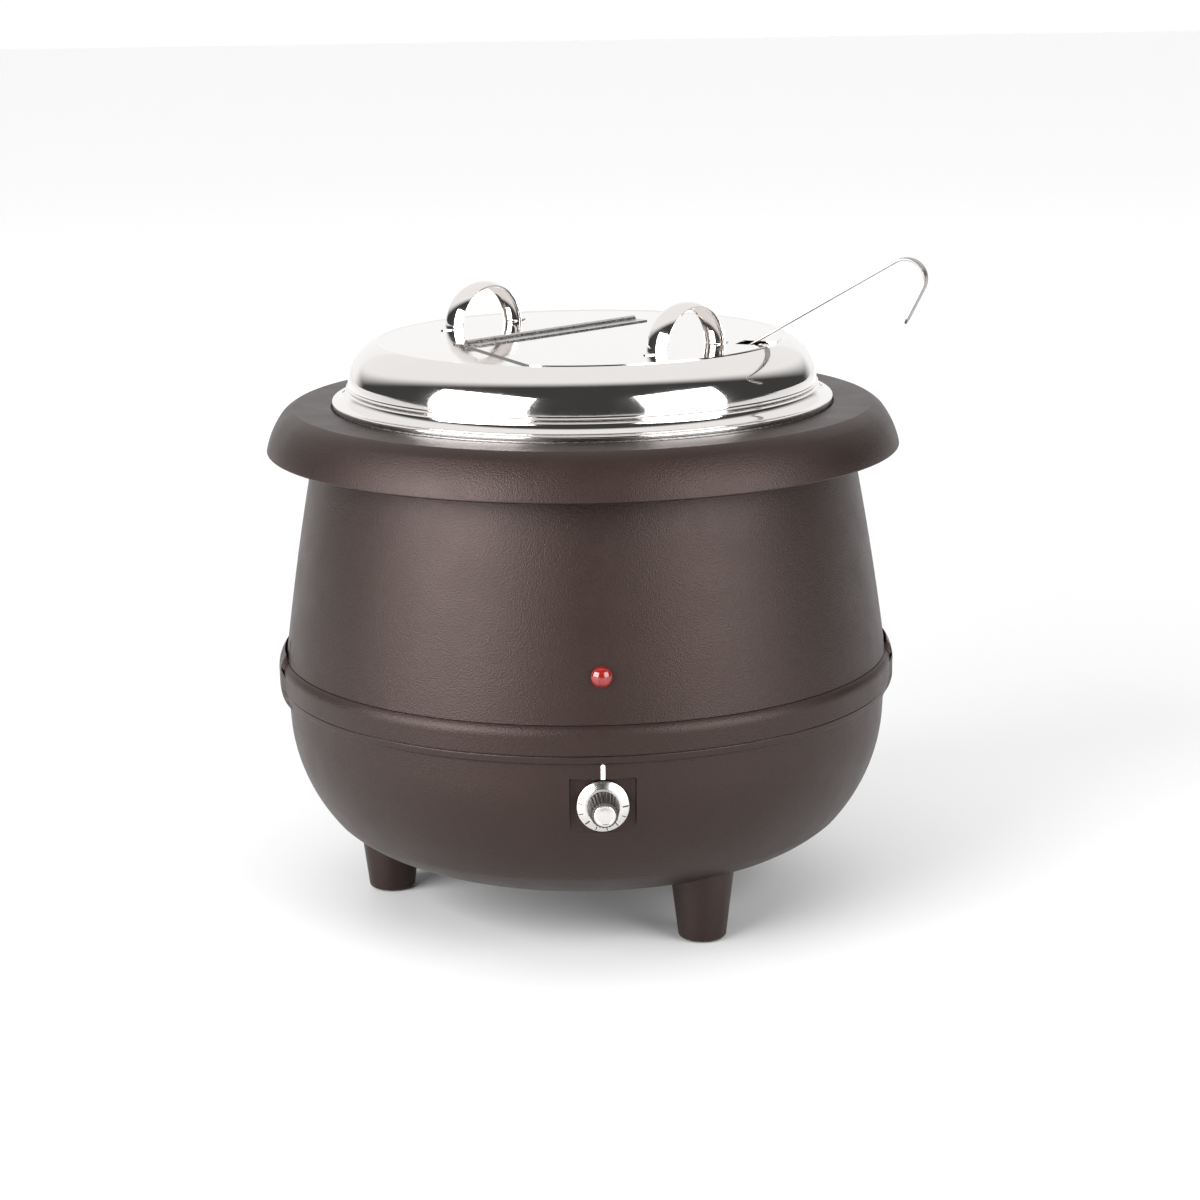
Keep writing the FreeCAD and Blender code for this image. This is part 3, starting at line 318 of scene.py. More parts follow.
def to_front(points, height):
    """Lay a piece that was made about Z so that its axis points to the front at a height."""
    x, y, z = points[..., 0], points[..., 1], points[..., 2]
    return np.stack([x, -z, height + y], -1)


def turned_about_z(points, degrees):
    """Points turned about the kettle's axis."""
    c, s = math.cos(math.radians(degrees)), math.sin(math.radians(degrees))
    x, y, z = points[..., 0], points[..., 1], points[..., 2]
    return np.stack([c * x - s * y, s * x + c * y, z], -1)


print("mesh tools ready")

# %% [markdown]
# No real surface has one even colour and gloss. Painted images could carry the variation, but they need a
# layout on each piece. Noise worked out in space needs none, and it reads Object coordinates, so a pattern
# stays on its piece when the piece moves. These helpers join a noise to a colour, a gloss or a small bump.

# %% Finish helpers
def new_finish(name, colour, roughness, metallic=0.0):
    """A Principled material; returns it with its nodes, links and shader."""
    finish = bpy.data.materials.new(name)
    finish.use_nodes = True
    shader = finish.node_tree.nodes["Principled BSDF"]
    shader.inputs["Base Color"].default_value = (*colour, 1)
    shader.inputs["Roughness"].default_value = roughness
    shader.inputs["Metallic"].default_value = metallic
    return finish, finish.node_tree.nodes, finish.node_tree.links, shader


def noise(nodes, links, scale, detail=2.0, stretch=(1, 1, 1)):
    """Noise on Object coordinates, `scale` features to the metre; returns its value socket."""
    place = nodes.new("ShaderNodeTexCoord")
    mapping = nodes.new("ShaderNodeMapping")
    mapping.inputs["Scale"].default_value = stretch
    texture = nodes.new("ShaderNodeTexNoise")
    texture.inputs["Scale"].default_value = scale
    texture.inputs["Detail"].default_value = detail
    links.new(place.outputs["Object"], mapping.inputs["Vector"])
    links.new(mapping.outputs["Vector"], texture.inputs["Vector"])
    return texture.outputs["Fac"]


def vary(nodes, links, value, target, low, high):
    """Spread a 0 to 1 value over low to high and put it into a socket."""
    spread = nodes.new("ShaderNodeMapRange")
    spread.inputs["From Min"].default_value, spread.inputs["From Max"].default_value = 0.3, 0.7
    spread.inputs["To Min"].default_value, spread.inputs["To Max"].default_value = low, high
    links.new(value, spread.inputs["Value"])
    links.new(spread.outputs[0], target)


def tint(nodes, links, value, target, dark, light):
    """Blend two colours by a value."""
    ramp = nodes.new("ShaderNodeValToRGB")
    ramp.color_ramp.elements[0].position, ramp.color_ramp.elements[1].position = 0.3, 0.7
    ramp.color_ramp.elements[0].color, ramp.color_ramp.elements[1].color = (*dark, 1), (*light, 1)
    links.new(value, ramp.inputs[0])
    links.new(ramp.outputs[0], target)


def bumped(nodes, links, shader, value, height, strength=1.0, onto=None):
    """Raise the surface by a value times a height in metres."""
    bump = nodes.new("ShaderNodeBump")
    bump.inputs["Strength"].default_value = strength
    bump.inputs["Distance"].default_value = height
    links.new(value, bump.inputs["Height"])
    if onto:
        links.new(onto, bump.inputs["Normal"])
    links.new(bump.outputs[0], shader.inputs["Normal"])
    return bump.outputs[0]


print("finish helpers ready")

# %% [markdown]
# The casing is moulded plastic with a fine spark-eroded grain and a warm brown cast. The lid and pot are
# polished sheet steel: almost a mirror, but thin sheet is never quite flat, so a very low, wide bump bends
# the reflections. Satin steel scatters more, and the knob's plastic is a little glossier than the casing.

# %% Plastics and steels
def casing_plastic():
    """Nearly black brown plastic with a moulded grain and a slight unevenness over the width of a hand."""
    finish, nodes, links, shader = new_finish("casing_plastic", (0.0115, 0.006, 0.0046), 0.4)
    shader.inputs["Specular IOR Level"].default_value = 0.38
    shader.inputs["Specular Tint"].default_value = (1, 0.80, 0.76, 1)
    tint(nodes, links, noise(nodes, links, 14, 3), shader.inputs["Base Color"],
         (0.0105, 0.0053, 0.004), (0.0125, 0.0067, 0.0052))
    vary(nodes, links, noise(nodes, links, 45, 4), shader.inputs["Roughness"], 0.37, 0.43)
    fine = bumped(nodes, links, shader, noise(nodes, links, 1100, 2), 0.0004, 0.7)
    bumped(nodes, links, shader, noise(nodes, links, 9, 1), 0.0006, 0.25, fine)
    return finish


def polished_steel():
    """Near-mirror sheet: a wide shallow wave and very fine polishing marks."""
    finish, nodes, links, shader = new_finish("polished_steel", (0.86, 0.83, 0.81), 0.07, 1.0)
    vary(nodes, links, noise(nodes, links, 60, 5), shader.inputs["Roughness"], 0.045, 0.10)
    wave = bumped(nodes, links, shader, noise(nodes, links, 11, 1.0), 0.0012, 0.35)
    bumped(nodes, links, shader, noise(nodes, links, 420, 3), 0.00002, 0.3, wave)
    return finish


def satin_steel():
    """Brushed sheet: noise stretched across Z for gloss and bump."""
    finish, nodes, links, shader = new_finish("satin_steel", (0.52, 0.505, 0.495), 0.27, 1.0)
    vary(nodes, links, noise(nodes, links, 300, 4, (1, 1, 6)), shader.inputs["Roughness"], 0.2, 0.34)
    bumped(nodes, links, shader, noise(nodes, links, 900, 2, (1, 1, 8)), 0.00003, 0.4)
    return finish


def knob_plastic():
    """Black plastic with a fine grain."""
    finish, nodes, links, shader = new_finish("knob_plastic", (0.028, 0.023, 0.021), 0.36)
    vary(nodes, links, noise(nodes, links, 200, 3), shader.inputs["Roughness"], 0.32, 0.44)
    bumped(nodes, links, shader, noise(nodes, links, 2200, 2), 0.00008, 0.4)
    return finish


print("plastics and steels ready")

# %% [markdown]
# The dial and the knob's cap are turned aluminium, with fine rings left by the tool. The rings are noise read
# along one line, the distance from the knob's axis, which keeps them round; a wood or wave texture would give
# rings that are too even. The lamp is clear red plastic under a gloss coat.

# %% Dial, lamp and other finishes
skirt_low, skirt_high = box_mm("knob_skirt")
DIAL_HEIGHT = (skirt_low[2] + skirt_high[2]) / 2


def dial_metal():
    """Turned aluminium: rings round the knob's axis, from the distance to it in the XZ plane."""
    finish, nodes, links, shader = new_finish("dial_metal", (0.62, 0.60, 0.585), 0.25, 1.0)
    place = nodes.new("ShaderNodeTexCoord")
    centred = nodes.new("ShaderNodeMapping")
    centred.inputs["Location"].default_value = (0, 0, -DIAL_HEIGHT * MM)
    flat = nodes.new("ShaderNodeVectorMath")
    flat.operation = "MULTIPLY"
    flat.inputs[1].default_value = (1, 0, 1)
    reach = nodes.new("ShaderNodeVectorMath")
    reach.operation = "LENGTH"
    rings = nodes.new("ShaderNodeTexNoise")
    rings.noise_dimensions = "1D"
    rings.inputs["Scale"].default_value = 3500
    rings.inputs["Detail"].default_value = 2
    links.new(place.outputs["Object"], centred.inputs["Vector"])
    links.new(centred.outputs["Vector"], flat.inputs[0])
    links.new(flat.outputs["Vector"], reach.inputs[0])
    links.new(reach.outputs["Value"], rings.inputs["W"])
    vary(nodes, links, rings.outputs["Fac"], shader.inputs["Roughness"], 0.16, 0.3)
    bumped(nodes, links, shader, rings.outputs["Fac"], 0.00004, 0.5)
    return finish


def lamp_red():
    """Clear red plastic, mostly seen as deep red gloss."""
    finish, nodes, links, shader = new_finish("lamp_red", (0.20, 0.008, 0.007), 0.1)
    shader.inputs["Transmission Weight"].default_value = 0.15
    shader.inputs["IOR"].default_value = 1.49
    shader.inputs["Coat Weight"].default_value = 0.6
    shader.inputs["Coat Roughness"].default_value = 0.04
    tint(nodes, links, noise(nodes, links, 320, 2), shader.inputs["Base Color"],
         (0.15, 0.006, 0.006), (0.26, 0.012, 0.009))
    return finish


def plain(name, dark, light, roughness, metallic=0.0, grain=900, height=0.00005):
    """A finish with a little variation in colour, gloss and surface."""
    finish, nodes, links, shader = new_finish(name, dark, roughness, metallic)
    tint(nodes, links, noise(nodes, links, grain / 12, 3), shader.inputs["Base Color"], dark, light)
    vary(nodes, links, noise(nodes, links, grain / 6, 3), shader.inputs["Roughness"],
         roughness * 0.85, roughness * 1.15)
    bumped(nodes, links, shader, noise(nodes, links, grain, 2), height, 0.5)
    return finish


def floor_white():
    """Matt white card with painted shade: its colour is darker close to the kettle, where the lights are
    strongest.
    """
    finish, nodes, links, shader = new_finish("floor_white", (0.86, 0.86, 0.86), 0.6)
    place = nodes.new("ShaderNodeTexCoord")
    reach = nodes.new("ShaderNodeVectorMath")
    reach.operation = "LENGTH"
    links.new(place.outputs["Object"], reach.inputs[0])
    # Painted shade: the colour runs from 0.66 close to the kettle up to 0.98 far out, against the strong light
    # there.
    painted_shade = ramp_between(nodes, links, reach.outputs["Value"], 0.7, 2.4, 0.66, 0.98)
    links.new(painted_shade, shader.inputs["Base Color"])
    vary(nodes, links, noise(nodes, links, 10, 3), shader.inputs["Roughness"], 0.55, 0.65)
    bumped(nodes, links, shader, noise(nodes, links, 60, 2), 0.0001, 0.5)
    return finish


print("dial, lamp and floor finishes ready")

# %% [markdown]
# Many pieces of the frame show as they are, such as the hinge, the flap, the pan and the gland, so every node
# gets the finish of its slot. The plainer metals, rubber and wires differ only in numbers, so one function
# makes them all.

# %% Finish for every slot
FINISH = {
    "casing_plastic": casing_plastic(),
    "polished_steel": polished_steel(),
    "satin_steel": satin_steel(),
    "knob_plastic": knob_plastic(),
    "dial_metal": dial_metal(),
    "lamp_red": lamp_red(),
    "ladle_steel": plain("ladle_steel", (0.30, 0.285, 0.275), (0.36, 0.345, 0.335), 0.3, 1.0, grain=400),
    "seal_rubber": plain("seal_rubber", (0.03, 0.03, 0.03), (0.045, 0.044, 0.043), 0.6),
    "zinc_steel": plain("zinc_steel", (0.55, 0.55, 0.52), (0.66, 0.66, 0.64), 0.32, 1.0),
    "spreader_aluminium": plain("spreader_aluminium", (0.68, 0.68, 0.68), (0.78, 0.78, 0.78), 0.4, 1.0),
    "heater_sheath": plain("heater_sheath", (0.10, 0.09, 0.08), (0.17, 0.15, 0.13), 0.5, 0.8),
    "copper": plain("copper", (0.70, 0.36, 0.20), (0.80, 0.45, 0.27), 0.3, 1.0),
    "wire_insulation": plain("wire_insulation", (0.16, 0.07, 0.03), (0.20, 0.09, 0.04), 0.35),
}
white_paint = plain("white_paint", (0.78, 0.78, 0.76), (0.86, 0.86, 0.84), 0.5)
black_paint = plain("black_paint", (0.02, 0.02, 0.02), (0.03, 0.03, 0.03), 0.5)
floor.data.materials.append(floor_white())
for entry in frame["record"]["subparts"]:
    mesh = frame["nodes"][entry["node"]].data
    mesh.materials.clear()
    mesh.materials.append(FINISH[entry["material_slot"]])
print(len(FINISH), "finishes on", len(frame["nodes"]), "nodes")

# %% [markdown]
# The casing's rim is one thick moulded ring. Its outer face is a slow curve that meets the flat top in a
# tighter one, and it hangs clear of the wall below, which leaves the dark gap under it. A bevelled cylinder
# would make the curve an even roll; the outline turned on the lathe keeps its slow and fast parts.

# %% Collar
collar_low, collar_high = box_mm("collar_ring")
RIM = (collar_high[0] - collar_low[0]) / 2
COLLAR_FOOT, COLLAR_TOP = collar_low[2], collar_high[2]
KNEE, FLAT, SEAT, BORE = RIM - 10, RIM - 17, 158.5, 149.5
collar_line = trace([(RIM, COLLAR_FOOT + 1.2, 54), (KNEE, COLLAR_TOP - 5, 20), (FLAT, COLLAR_TOP),
                     (SEAT, COLLAR_TOP), (SEAT, COLLAR_TOP - 1.5), (BORE, COLLAR_TOP - 1.5),
                     (BORE, COLLAR_TOP - 4.5), (FLAT, COLLAR_TOP - 4.5), (KNEE - 2, COLLAR_TOP - 8, -51),
                     (RIM - 3, COLLAR_FOOT)])
grid_piece("collar", spun(soften(collar_line, 0.9), full_turn()), "housing", FINISH["casing_plastic"],
           hides=["collar_ring"])
print("collar", round(2 * RIM, 1), "mm across")

# %% [markdown]
# The upper casing is a nearly straight cone with four short upright slots just above the belt, two beside
# each lug. Cutting them with a boolean would leave ragged edges in a smooth surface. Instead the grid has
# extra columns and rows at each slot's edge, and a mask, 1 inside the slot and 0 outside, pushes the skin in
# there.

# %% Upper casing
shell_low, shell_high = box_mm("upper_shell")
SHELL_FOOT_RADIUS = (shell_high[0] - shell_low[0]) / 2
SHELL_TOP, BELT_TOP, SHELL_TOP_RADIUS = shell_high[2], 160.7, 168
SHEET, BEHIND_BELT, IN_BELT = 3, 185.5, 188
SLOT_AZIMUTHS = np.radians([80.7, 99.3, 260.7, 279.3])
SLOT_WIDTH, SLOT_DEPTH, SLOT_TOP = 3.2, 2.0, 175.5
wall = trace([(SHELL_FOOT_RADIUS, BELT_TOP + 0.3, 2000), (SHELL_TOP_RADIUS, SHELL_TOP)])
heights = np.sort(np.concatenate([wall[:, 1], SLOT_TOP + np.linspace(-0.5, 0.5, 6)]))
outer = np.stack([np.interp(heights, wall[:, 1], wall[:, 0]), heights], 1)
inner = np.array([(SHELL_TOP_RADIUS - SHEET, SHELL_TOP), (SHELL_FOOT_RADIUS - 3.9, BELT_TOP + 8),
                  (BEHIND_BELT, BELT_TOP + 4), (BEHIND_BELT, BELT_TOP - 9), (IN_BELT, BELT_TOP - 9),
                  (IN_BELT, BELT_TOP + 0.3)])
half_slot = SLOT_WIDTH / 2 / SHELL_FOOT_RADIUS
edges = [centre + side * half_slot + np.linspace(-0.0012, 0.0012, 5)
         for centre in SLOT_AZIMUTHS for side in (-1, 1)]
columns = np.sort(np.concatenate([full_turn(300)] + edges))
from_slot = np.abs(columns[:, None] - SLOT_AZIMUTHS[None]).min(1)
in_slot = step(half_slot + 0.001 - from_slot, 0.002)[:, None] * step(SLOT_TOP + 0.3 - heights, 0.6)[None]
skin = spun(outer, columns)
skin[..., :2] *= (1 - in_slot * SLOT_DEPTH / SHELL_FOOT_RADIUS)[..., None]
grid_piece("upper_casing", np.concatenate([skin, spun(inner, columns)], 1), "housing", FINISH["casing_plastic"],
           hides=["upper_shell"])
print("upper casing", round(SHELL_TOP - BELT_TOP, 1), "mm high")

# %% [markdown]
# The lower casing is a bowl with a rounded belt at its top, and a raised lug on each side of the belt. The
# belt and the lugs are two outlines with the same number of points, so a mask over the angle can blend one
# into the other. The lug's foot fades out slowly into the belt and its upper part has steep sides.

# %% Belt and lugs
INNER, SPLIT = 181, 129.9
BELT, BELT_FOOT, BELT_RIM = 195.6, 137.4, 192.8
LUG_HALF, LUG_TOP, LUG_GAP = math.radians(8.5), 165.8, 192.9
BOWL_TOP, BOWL_RADIUS = 121.4, 191.2


def bowl_wall(height):
    """Radius of the bowl's nearly upright wall: it leans out by 1 in 20 above BOWL_TOP."""
    return BOWL_RADIUS + 0.05 * (height - BOWL_TOP)


belt_line = trace([(bowl_wall(SPLIT), SPLIT), (192, BELT_FOOT), (BELT - 1.4, BELT_FOOT + 0.8),
                   (BELT - 0.9, BELT_FOOT + 4.8), (BELT - 1.5, BELT_FOOT + 5.2), (BELT - 0.2, BELT_FOOT + 5.9),
                   (BELT, 154, 9), (BELT_RIM, BELT_TOP)], 12)
belt_back = np.array([(BELT_RIM - 0.1, BELT_TOP), (INNER, BELT_TOP)])
plain_top = np.concatenate([resample(soften(belt_line, 0.45, False), 84), resample(belt_back, 14)])
lug_wall = trace([(bowl_wall(SPLIT), SPLIT, 22), (197.4, 145), (197.4, 152, 20), (193.6, LUG_TOP)], 16)
lug_back = np.array([(193.5, LUG_TOP), (LUG_GAP, LUG_TOP), (LUG_GAP, 158.7), (INNER, 158.7)])
lug_top = np.concatenate([resample(lug_wall, 84), resample(lug_back, 14)])
print("belt", 2 * BELT, "mm across")

# %% [markdown]
# The knob sits in a square recess in the front of the bowl. It is a mask as well: inside it the skin is moved
# to one flat depth. The grid gets extra columns and rows at the recess's edges, so the walls come out steep
# with small rounded edges. The columns near the front are squeezed together lower down, where the bowl is
# narrower, and so the recess keeps upright sides.

# %% Lower casing
RECESS_FLOOR, RECESS_WIDTH, RECESS_FOOT, RECESS_TOP = 185.5, 38.5, 94.5, 127.4
UNDERSIDE = 40          # points of the outline below the part that is given new rows
SQUEEZED = 0.3          # radians from the front
BAND = 0.8              # width of the recess's edge
bowl_under = trace([(0.0, 37), (115, 37, 73), (166, 57.5, 108.8), (BOWL_RADIUS, BOWL_TOP)])
outline = np.concatenate([bowl_under, [(bowl_wall(SPLIT), SPLIT)]])
under, rising = outline[:UNDERSIDE], outline[UNDERSIDE:]
edge_rows = [RECESS_FOOT + np.linspace(-0.9, 0.1, 6), RECESS_TOP + np.linspace(-0.1, 0.9, 6)]
rows = np.sort(np.concatenate([rising[:, 1], *edge_rows, np.arange(93, 129, 3.0)]))
outside = np.concatenate([under, np.stack([np.interp(rows, rising[:, 1], rising[:, 0]), rows], 1)])
lining = np.array([(INNER, 90), (160, 62), (110, 41), (0, 41)], float)

half_angle = math.asin(RECESS_WIDTH / 2 / 189)
lug_edge = LUG_HALF + np.array([-0.001, 0, 0.0015, 0.003, 0.0045, 0.006])
columns = np.concatenate([full_turn(300) - math.pi / 20]
                         + [side * (half_angle + np.linspace(-0.001, 0.006, 7)) for side in (-1, 1)]
                         + [lug * math.pi / 2 + side * lug_edge for lug in (-1, 1) for side in (-1, 1)])
columns = np.sort((columns + math.pi) % (2 * math.pi) - math.pi)
fade = np.where(lug_top[:, 1] < 157, 0.06, 0.0045)[None]
lug_mask = step(LUG_HALF + fade - np.abs(np.abs(columns) - math.pi / 2)[:, None], fade)[..., None]
top = (1 - lug_mask) * spun(plain_top, columns) + lug_mask * spun(lug_top, columns)

skin = spun(outside, columns)
reach = np.hypot(skin[..., 0], skin[..., 1])
upright = np.arcsin(np.clip(RECESS_WIDTH / 2 / np.maximum(reach, 60), 0, 1)) / half_angle
blend = step(SQUEEZED - np.abs(columns)[:, None], 0.12)
angle = columns[:, None] * (1 - blend + upright * blend)
skin[..., 0], skin[..., 1] = reach * np.sin(angle), -reach * np.cos(angle)
mask = (step(RECESS_WIDTH / 2 + BAND / 2 - np.abs(skin[..., 0]), BAND)
        * step(skin[..., 2] - RECESS_FOOT + BAND, BAND) * step(RECESS_TOP + BAND - skin[..., 2], BAND)
        * (skin[..., 1] < 0))
skin[..., 1] = (1 - mask) * skin[..., 1] - mask * RECESS_FLOOR
lower = np.concatenate([skin, top, spun(lining, columns)], 1)
grid_piece("lower_casing", lower, "housing", FINISH["casing_plastic"], along=False,
           hides=["base_bowl"])
print("lower casing grid", lower.shape[:2])

# %% [markdown]
# The mark above the knob is a short white bar with a round top, on the bowl under the belt. A painted mask in
# the casing's finish would blur at its edges, so it is a thin piece that follows the bowl a hair further out.

# %% Index mark
MARK_TOP, MARK_HALF = 137.2, 1.35
mark_heights = np.linspace(RECESS_TOP + 0.5, MARK_TOP, 24)
bowl_radius = bowl_wall(mark_heights)
beyond = np.clip(mark_heights - MARK_TOP + MARK_HALF, 0, MARK_HALF - 0.01)
half_width = np.sqrt(MARK_HALF ** 2 - beyond ** 2)
across = np.array([-1, -0.9, 0.9, 1, 1, -1])
outwards = np.array([-0.1, 0.12, 0.12, -0.1, -0.8, -0.8])
mark = np.stack([half_width[:, None] * across[None], -(bowl_radius[:, None] + outwards[None]),
                 mark_heights[:, None] + 0 * across[None]], -1)
grid_piece("index_mark", mark, "housing", white_paint, around=False)
print("index mark", round(mark_heights[-1] - mark_heights[0], 1), "mm high")

# %% [markdown]
# The kettle stands on three moulded feet, tapered and rounded at the tip. One outline is turned once for each
# foot, at the place of its node in the frame. They run up into the bowl, so no gap shows where its underside
# curves away.

# %% Feet
foot_line = trace([(0.0, 3), (11.1, 3), (11.1, 0.8), (12.7, 0.8, 2.3), (15, 3.1), (20.1, 46), (0, 46)], 8)
for node_name in ("foot_front_right", "foot_rear_right", "foot_left"):
    low, high = box_mm(node_name)
    centre = (low + high) / 2
    foot = spun(soften(foot_line, 0.4), full_turn(96)) + np.array([centre[0], centre[1], 0])
    grid_piece(node_name + "_skin", foot, "housing", FINISH["casing_plastic"],
               hides=[node_name])
print("feet done")

# %% [markdown]
# The pot's rim slopes down from under the lid to a hem that stands on the collar. It is pressed sheet, so a
# shallow channel runs round it and the hem has a small bead. The outline goes up the outside, round the hem
# and down the inside, because the pot lifts out and its inner face shows.

# %% Pot
pot_line = trace([(0.0, 165), (129, 165, 12), (141, 177), (141, 325.5, -5.5), (146.5, 331), (155.6, 323.2),
                  (156.6, 321.6), (157.9, 321.6), (158.1, 323.4, 1.2), (156.6, 324.6, -9), (149.6, 330.4),
                  (147.6, 331.9), (146.3, 332, 6.4), (140, 325.6), (140, 177, -11), (129, 166), (0, 166)], 16)
grid_piece("pot", spun(soften(pot_line, 0.35), full_turn()), "pot", FINISH["polished_steel"],
           along=False, hides=["soup_pot"])
print("pot done")

# %% [markdown]
# The lid is one pressing. Its wall rises from a small lip, rolls over a crest and drops a small step to the
# flat panel, and under the flap the panel is cut away to a mouth that isn't round. One grid still covers it:
# each column runs up the wall, over the crest and across the panel to the mouth's edge at its own angle, and
# back underneath. The mouth's outline is the nearest of a circle, a back line and two slanting lines.

# %% Lid
LID_TURN = 42.3
PANEL, CREST, CREST_RADIUS, PANEL_RADIUS = 360.2, 360.9, 128.8, 126.6
MOUTH_RADIUS, MOUTH_CORNER, MOUTH_BACK, MOUTH_EDGE = 117.5, 98.5, 67, 16


def mouth_reach(azimuths):
    """Distance from the axis to the mouth's outline: the smallest of circle, back line and slanting sides."""
    x, y = np.sin(azimuths), -np.cos(azimuths)
    depth = -math.sqrt(MOUTH_RADIUS ** 2 - MOUTH_CORNER ** 2)
    back = np.where(y > 1e-6, MOUTH_EDGE / np.maximum(y, 1e-6), 1e9)
    slant = (MOUTH_CORNER - MOUTH_BACK) / (depth - MOUTH_EDGE)
    # On a side, |x| = MOUTH_BACK + slant * (y - MOUTH_EDGE).
    side_bottom = np.abs(x) - slant * y
    side = np.where(side_bottom > 1e-6, (MOUTH_BACK - slant * MOUTH_EDGE) / np.maximum(side_bottom, 1e-6), 1e9)
    return np.minimum(np.minimum(back, side), MOUTH_RADIUS)


LIP = box_mm("lid_dome")[0][2]
wall_up = trace([(145.9, LIP), (148.4, LIP), (149, LIP + 0.5), (148.6, LIP + 1.1), (147.8, LIP + 1.6),
                 (147.6, 338.5, 30.5), (CREST_RADIUS, CREST), (PANEL_RADIUS, PANEL),
                 (PANEL_RADIUS - 1, PANEL)], 36)
wall_up = soften(wall_up, 0.9, False)
wall_down = trace([(PANEL_RADIUS + 0.3, PANEL - 1), (CREST_RADIUS + 0.3, CREST - 1, -29.5), (146.6, 338.5),
                   (146.6, LIP + 1), (145.9, LIP + 1)], 24)
corner_angle = math.atan2(MOUTH_CORNER, math.sqrt(MOUTH_RADIUS ** 2 - MOUTH_CORNER ** 2))
back_angle = math.pi / 2 + math.atan2(MOUTH_EDGE, MOUTH_BACK)
corners = [corner_angle, back_angle, 2 * math.pi - corner_angle, 2 * math.pi - back_angle]
columns = np.sort(np.concatenate([full_turn(360), corners]))
up, down = spun(wall_up, columns), spun(wall_down, columns)
reach = mouth_reach(columns)[:, None]
share = np.linspace(0, 1, 5)[None, 1:]
panel_reach = (PANEL_RADIUS - 1) * (1 - share) + reach * share
lip_reach = np.concatenate([panel_reach, reach - 0.35, reach - 0.35, panel_reach[:, ::-1]], 1)
lip_height = np.concatenate([np.full(panel_reach.shape, PANEL), reach * 0 + PANEL - 0.3,
                             reach * 0 + PANEL - 0.7, np.full(panel_reach.shape, PANEL - 1)], 1)
panel = np.stack([lip_reach * np.sin(columns)[:, None], -lip_reach * np.cos(columns)[:, None], lip_height], -1)
dome = turned_about_z(np.concatenate([up, panel, down], 1), LID_TURN)
grid_piece("lid_shell", dome, "lid", FINISH["polished_steel"], hides=["lid_dome"])
print("lid grid", dome.shape[:2])

# %% [markdown]
# The two handles are hollow cambered straps bent to a half circle. The section is a thin crescent; it is
# carried round the half circle, and it is the same shape all the way. A pointed tab at each foot is where the
# strap is welded down.

# %% Handles and tabs
GRIP, GRIP_WIDTH, CAMBER = 28.6, 17.0, 16.0


def crescent(width, camber, thickness):
    """A thin crescent section: (height above its edges, place across the strap)."""
    half = width / 2
    rise = camber - math.sqrt(camber ** 2 - half ** 2)
    outer = trace([(0, -half, camber), (0, half)], 20)[:21]
    inner = np.stack([outer[::-1, 0] - thickness, outer[::-1, 1] * (1 - thickness / half * 0.7)], 1)
    return soften(np.concatenate([outer, [(0, half)], inner]), 0.4), rise


def tab(side, offset, base):
    """A pointed plate: rings of one outline, drawn in towards its middle at its top and bottom."""
    outline = np.array([(24, -3.4), (32, -3.3), (37.8, -0.5), (37.8, 0.5), (32, 3.3), (24, 3.4)])
    around = resample(soften(np.concatenate([outline, outline[:1]]), 1.0, False), 40)[:-1]
    middle = around.mean(0)
    shares = np.array([0, 1, 1, 0.93, 0])[None, :]
    heights = np.array([-0.1, -0.1, 0.55, 0.8, 0.8])[None, :]
    spread = middle + (around - middle)[:, None, :] * shares[..., None]
    return np.stack([side * spread[..., 0], offset + spread[..., 1], base + heights + 0 * spread[..., 0]], -1)


def handle(name, offset, base, body, hides):
    """Carry the crescent round half a circle above the lid: (R cos t, offset + across, base + R sin t)."""
    section, rise = crescent(GRIP_WIDTH, CAMBER, 1.3)
    turn = np.linspace(-0.04, math.pi + 0.04, 90)[:, None]
    radius = GRIP - rise + section[None, :, 0]
    points = np.stack([radius * np.cos(turn), offset + section[None, :, 1] + 0 * turn,
                       base + radius * np.sin(turn)], -1)
    grid_piece(name, turned_about_z(points, LID_TURN), body, FINISH["polished_steel"],
               around=False, hides=hides)
    for side, side_name in ((-1, "left"), (1, "right")):
        grid_piece("%s_tab_%s" % (name, side_name), turned_about_z(tab(side, offset, base), LID_TURN), body,
                   FINISH["polished_steel"], along=False)


handle("fixed_handle", 90, PANEL, "lid", ["lid_handle_fixed"])
handle("flap_handle", -90, PANEL + 1, "flap", ["lid_handle_flap"])
print("two handles")

# %% [markdown]
# The ladle's handle is a flat strap with rounded edges that ends in a hook. The path is a straight run, an
# arc and a short tail in one upright plane, and the section is carried along it.

# %% Ladle
LADLE_TURN, SLOPE, EXIT = 65.3 - 90, math.radians(30.4), 114.0
INSIDE, OUTSIDE, HOOK, HOOK_TURN, TAIL = 224, 104.5, 12, math.radians(147), 24
HALF_STRAP, HALF_SHEET = 4, 0.78
along = np.array([math.cos(SLOPE), math.sin(SLOPE)])
upward = np.array([-math.sin(SLOPE), math.cos(SLOPE)])
exit_point = np.array([EXIT, PANEL + 0.8])
hook_start = exit_point + along * OUTSIDE
hook_centre = hook_start - upward * HOOK
bend = SLOPE + math.pi / 2 - np.linspace(0, HOOK_TURN, 40)
hook = hook_centre + HOOK * np.stack([np.cos(bend), np.sin(bend)], 1)
tail = hook[-1] + np.linspace(0, TAIL, 8)[1:, None] * np.array([math.sin(bend[-1]), -math.cos(bend[-1])])
straight = exit_point + np.linspace(-INSIDE, OUTSIDE, 60)[:-1, None] * along
path = np.concatenate([straight, hook, tail])
way = np.gradient(path, axis=0)
way /= np.linalg.norm(way, axis=1)[:, None]
normal = np.stack([-way[:, 1], way[:, 0]], 1)
to_end = np.minimum(np.cumsum(np.linalg.norm(np.diff(path, axis=0, prepend=path[:1]), axis=1)),
                    np.cumsum(np.linalg.norm(np.diff(path[::-1], axis=0, prepend=path[-1:]), axis=1))[::-1])
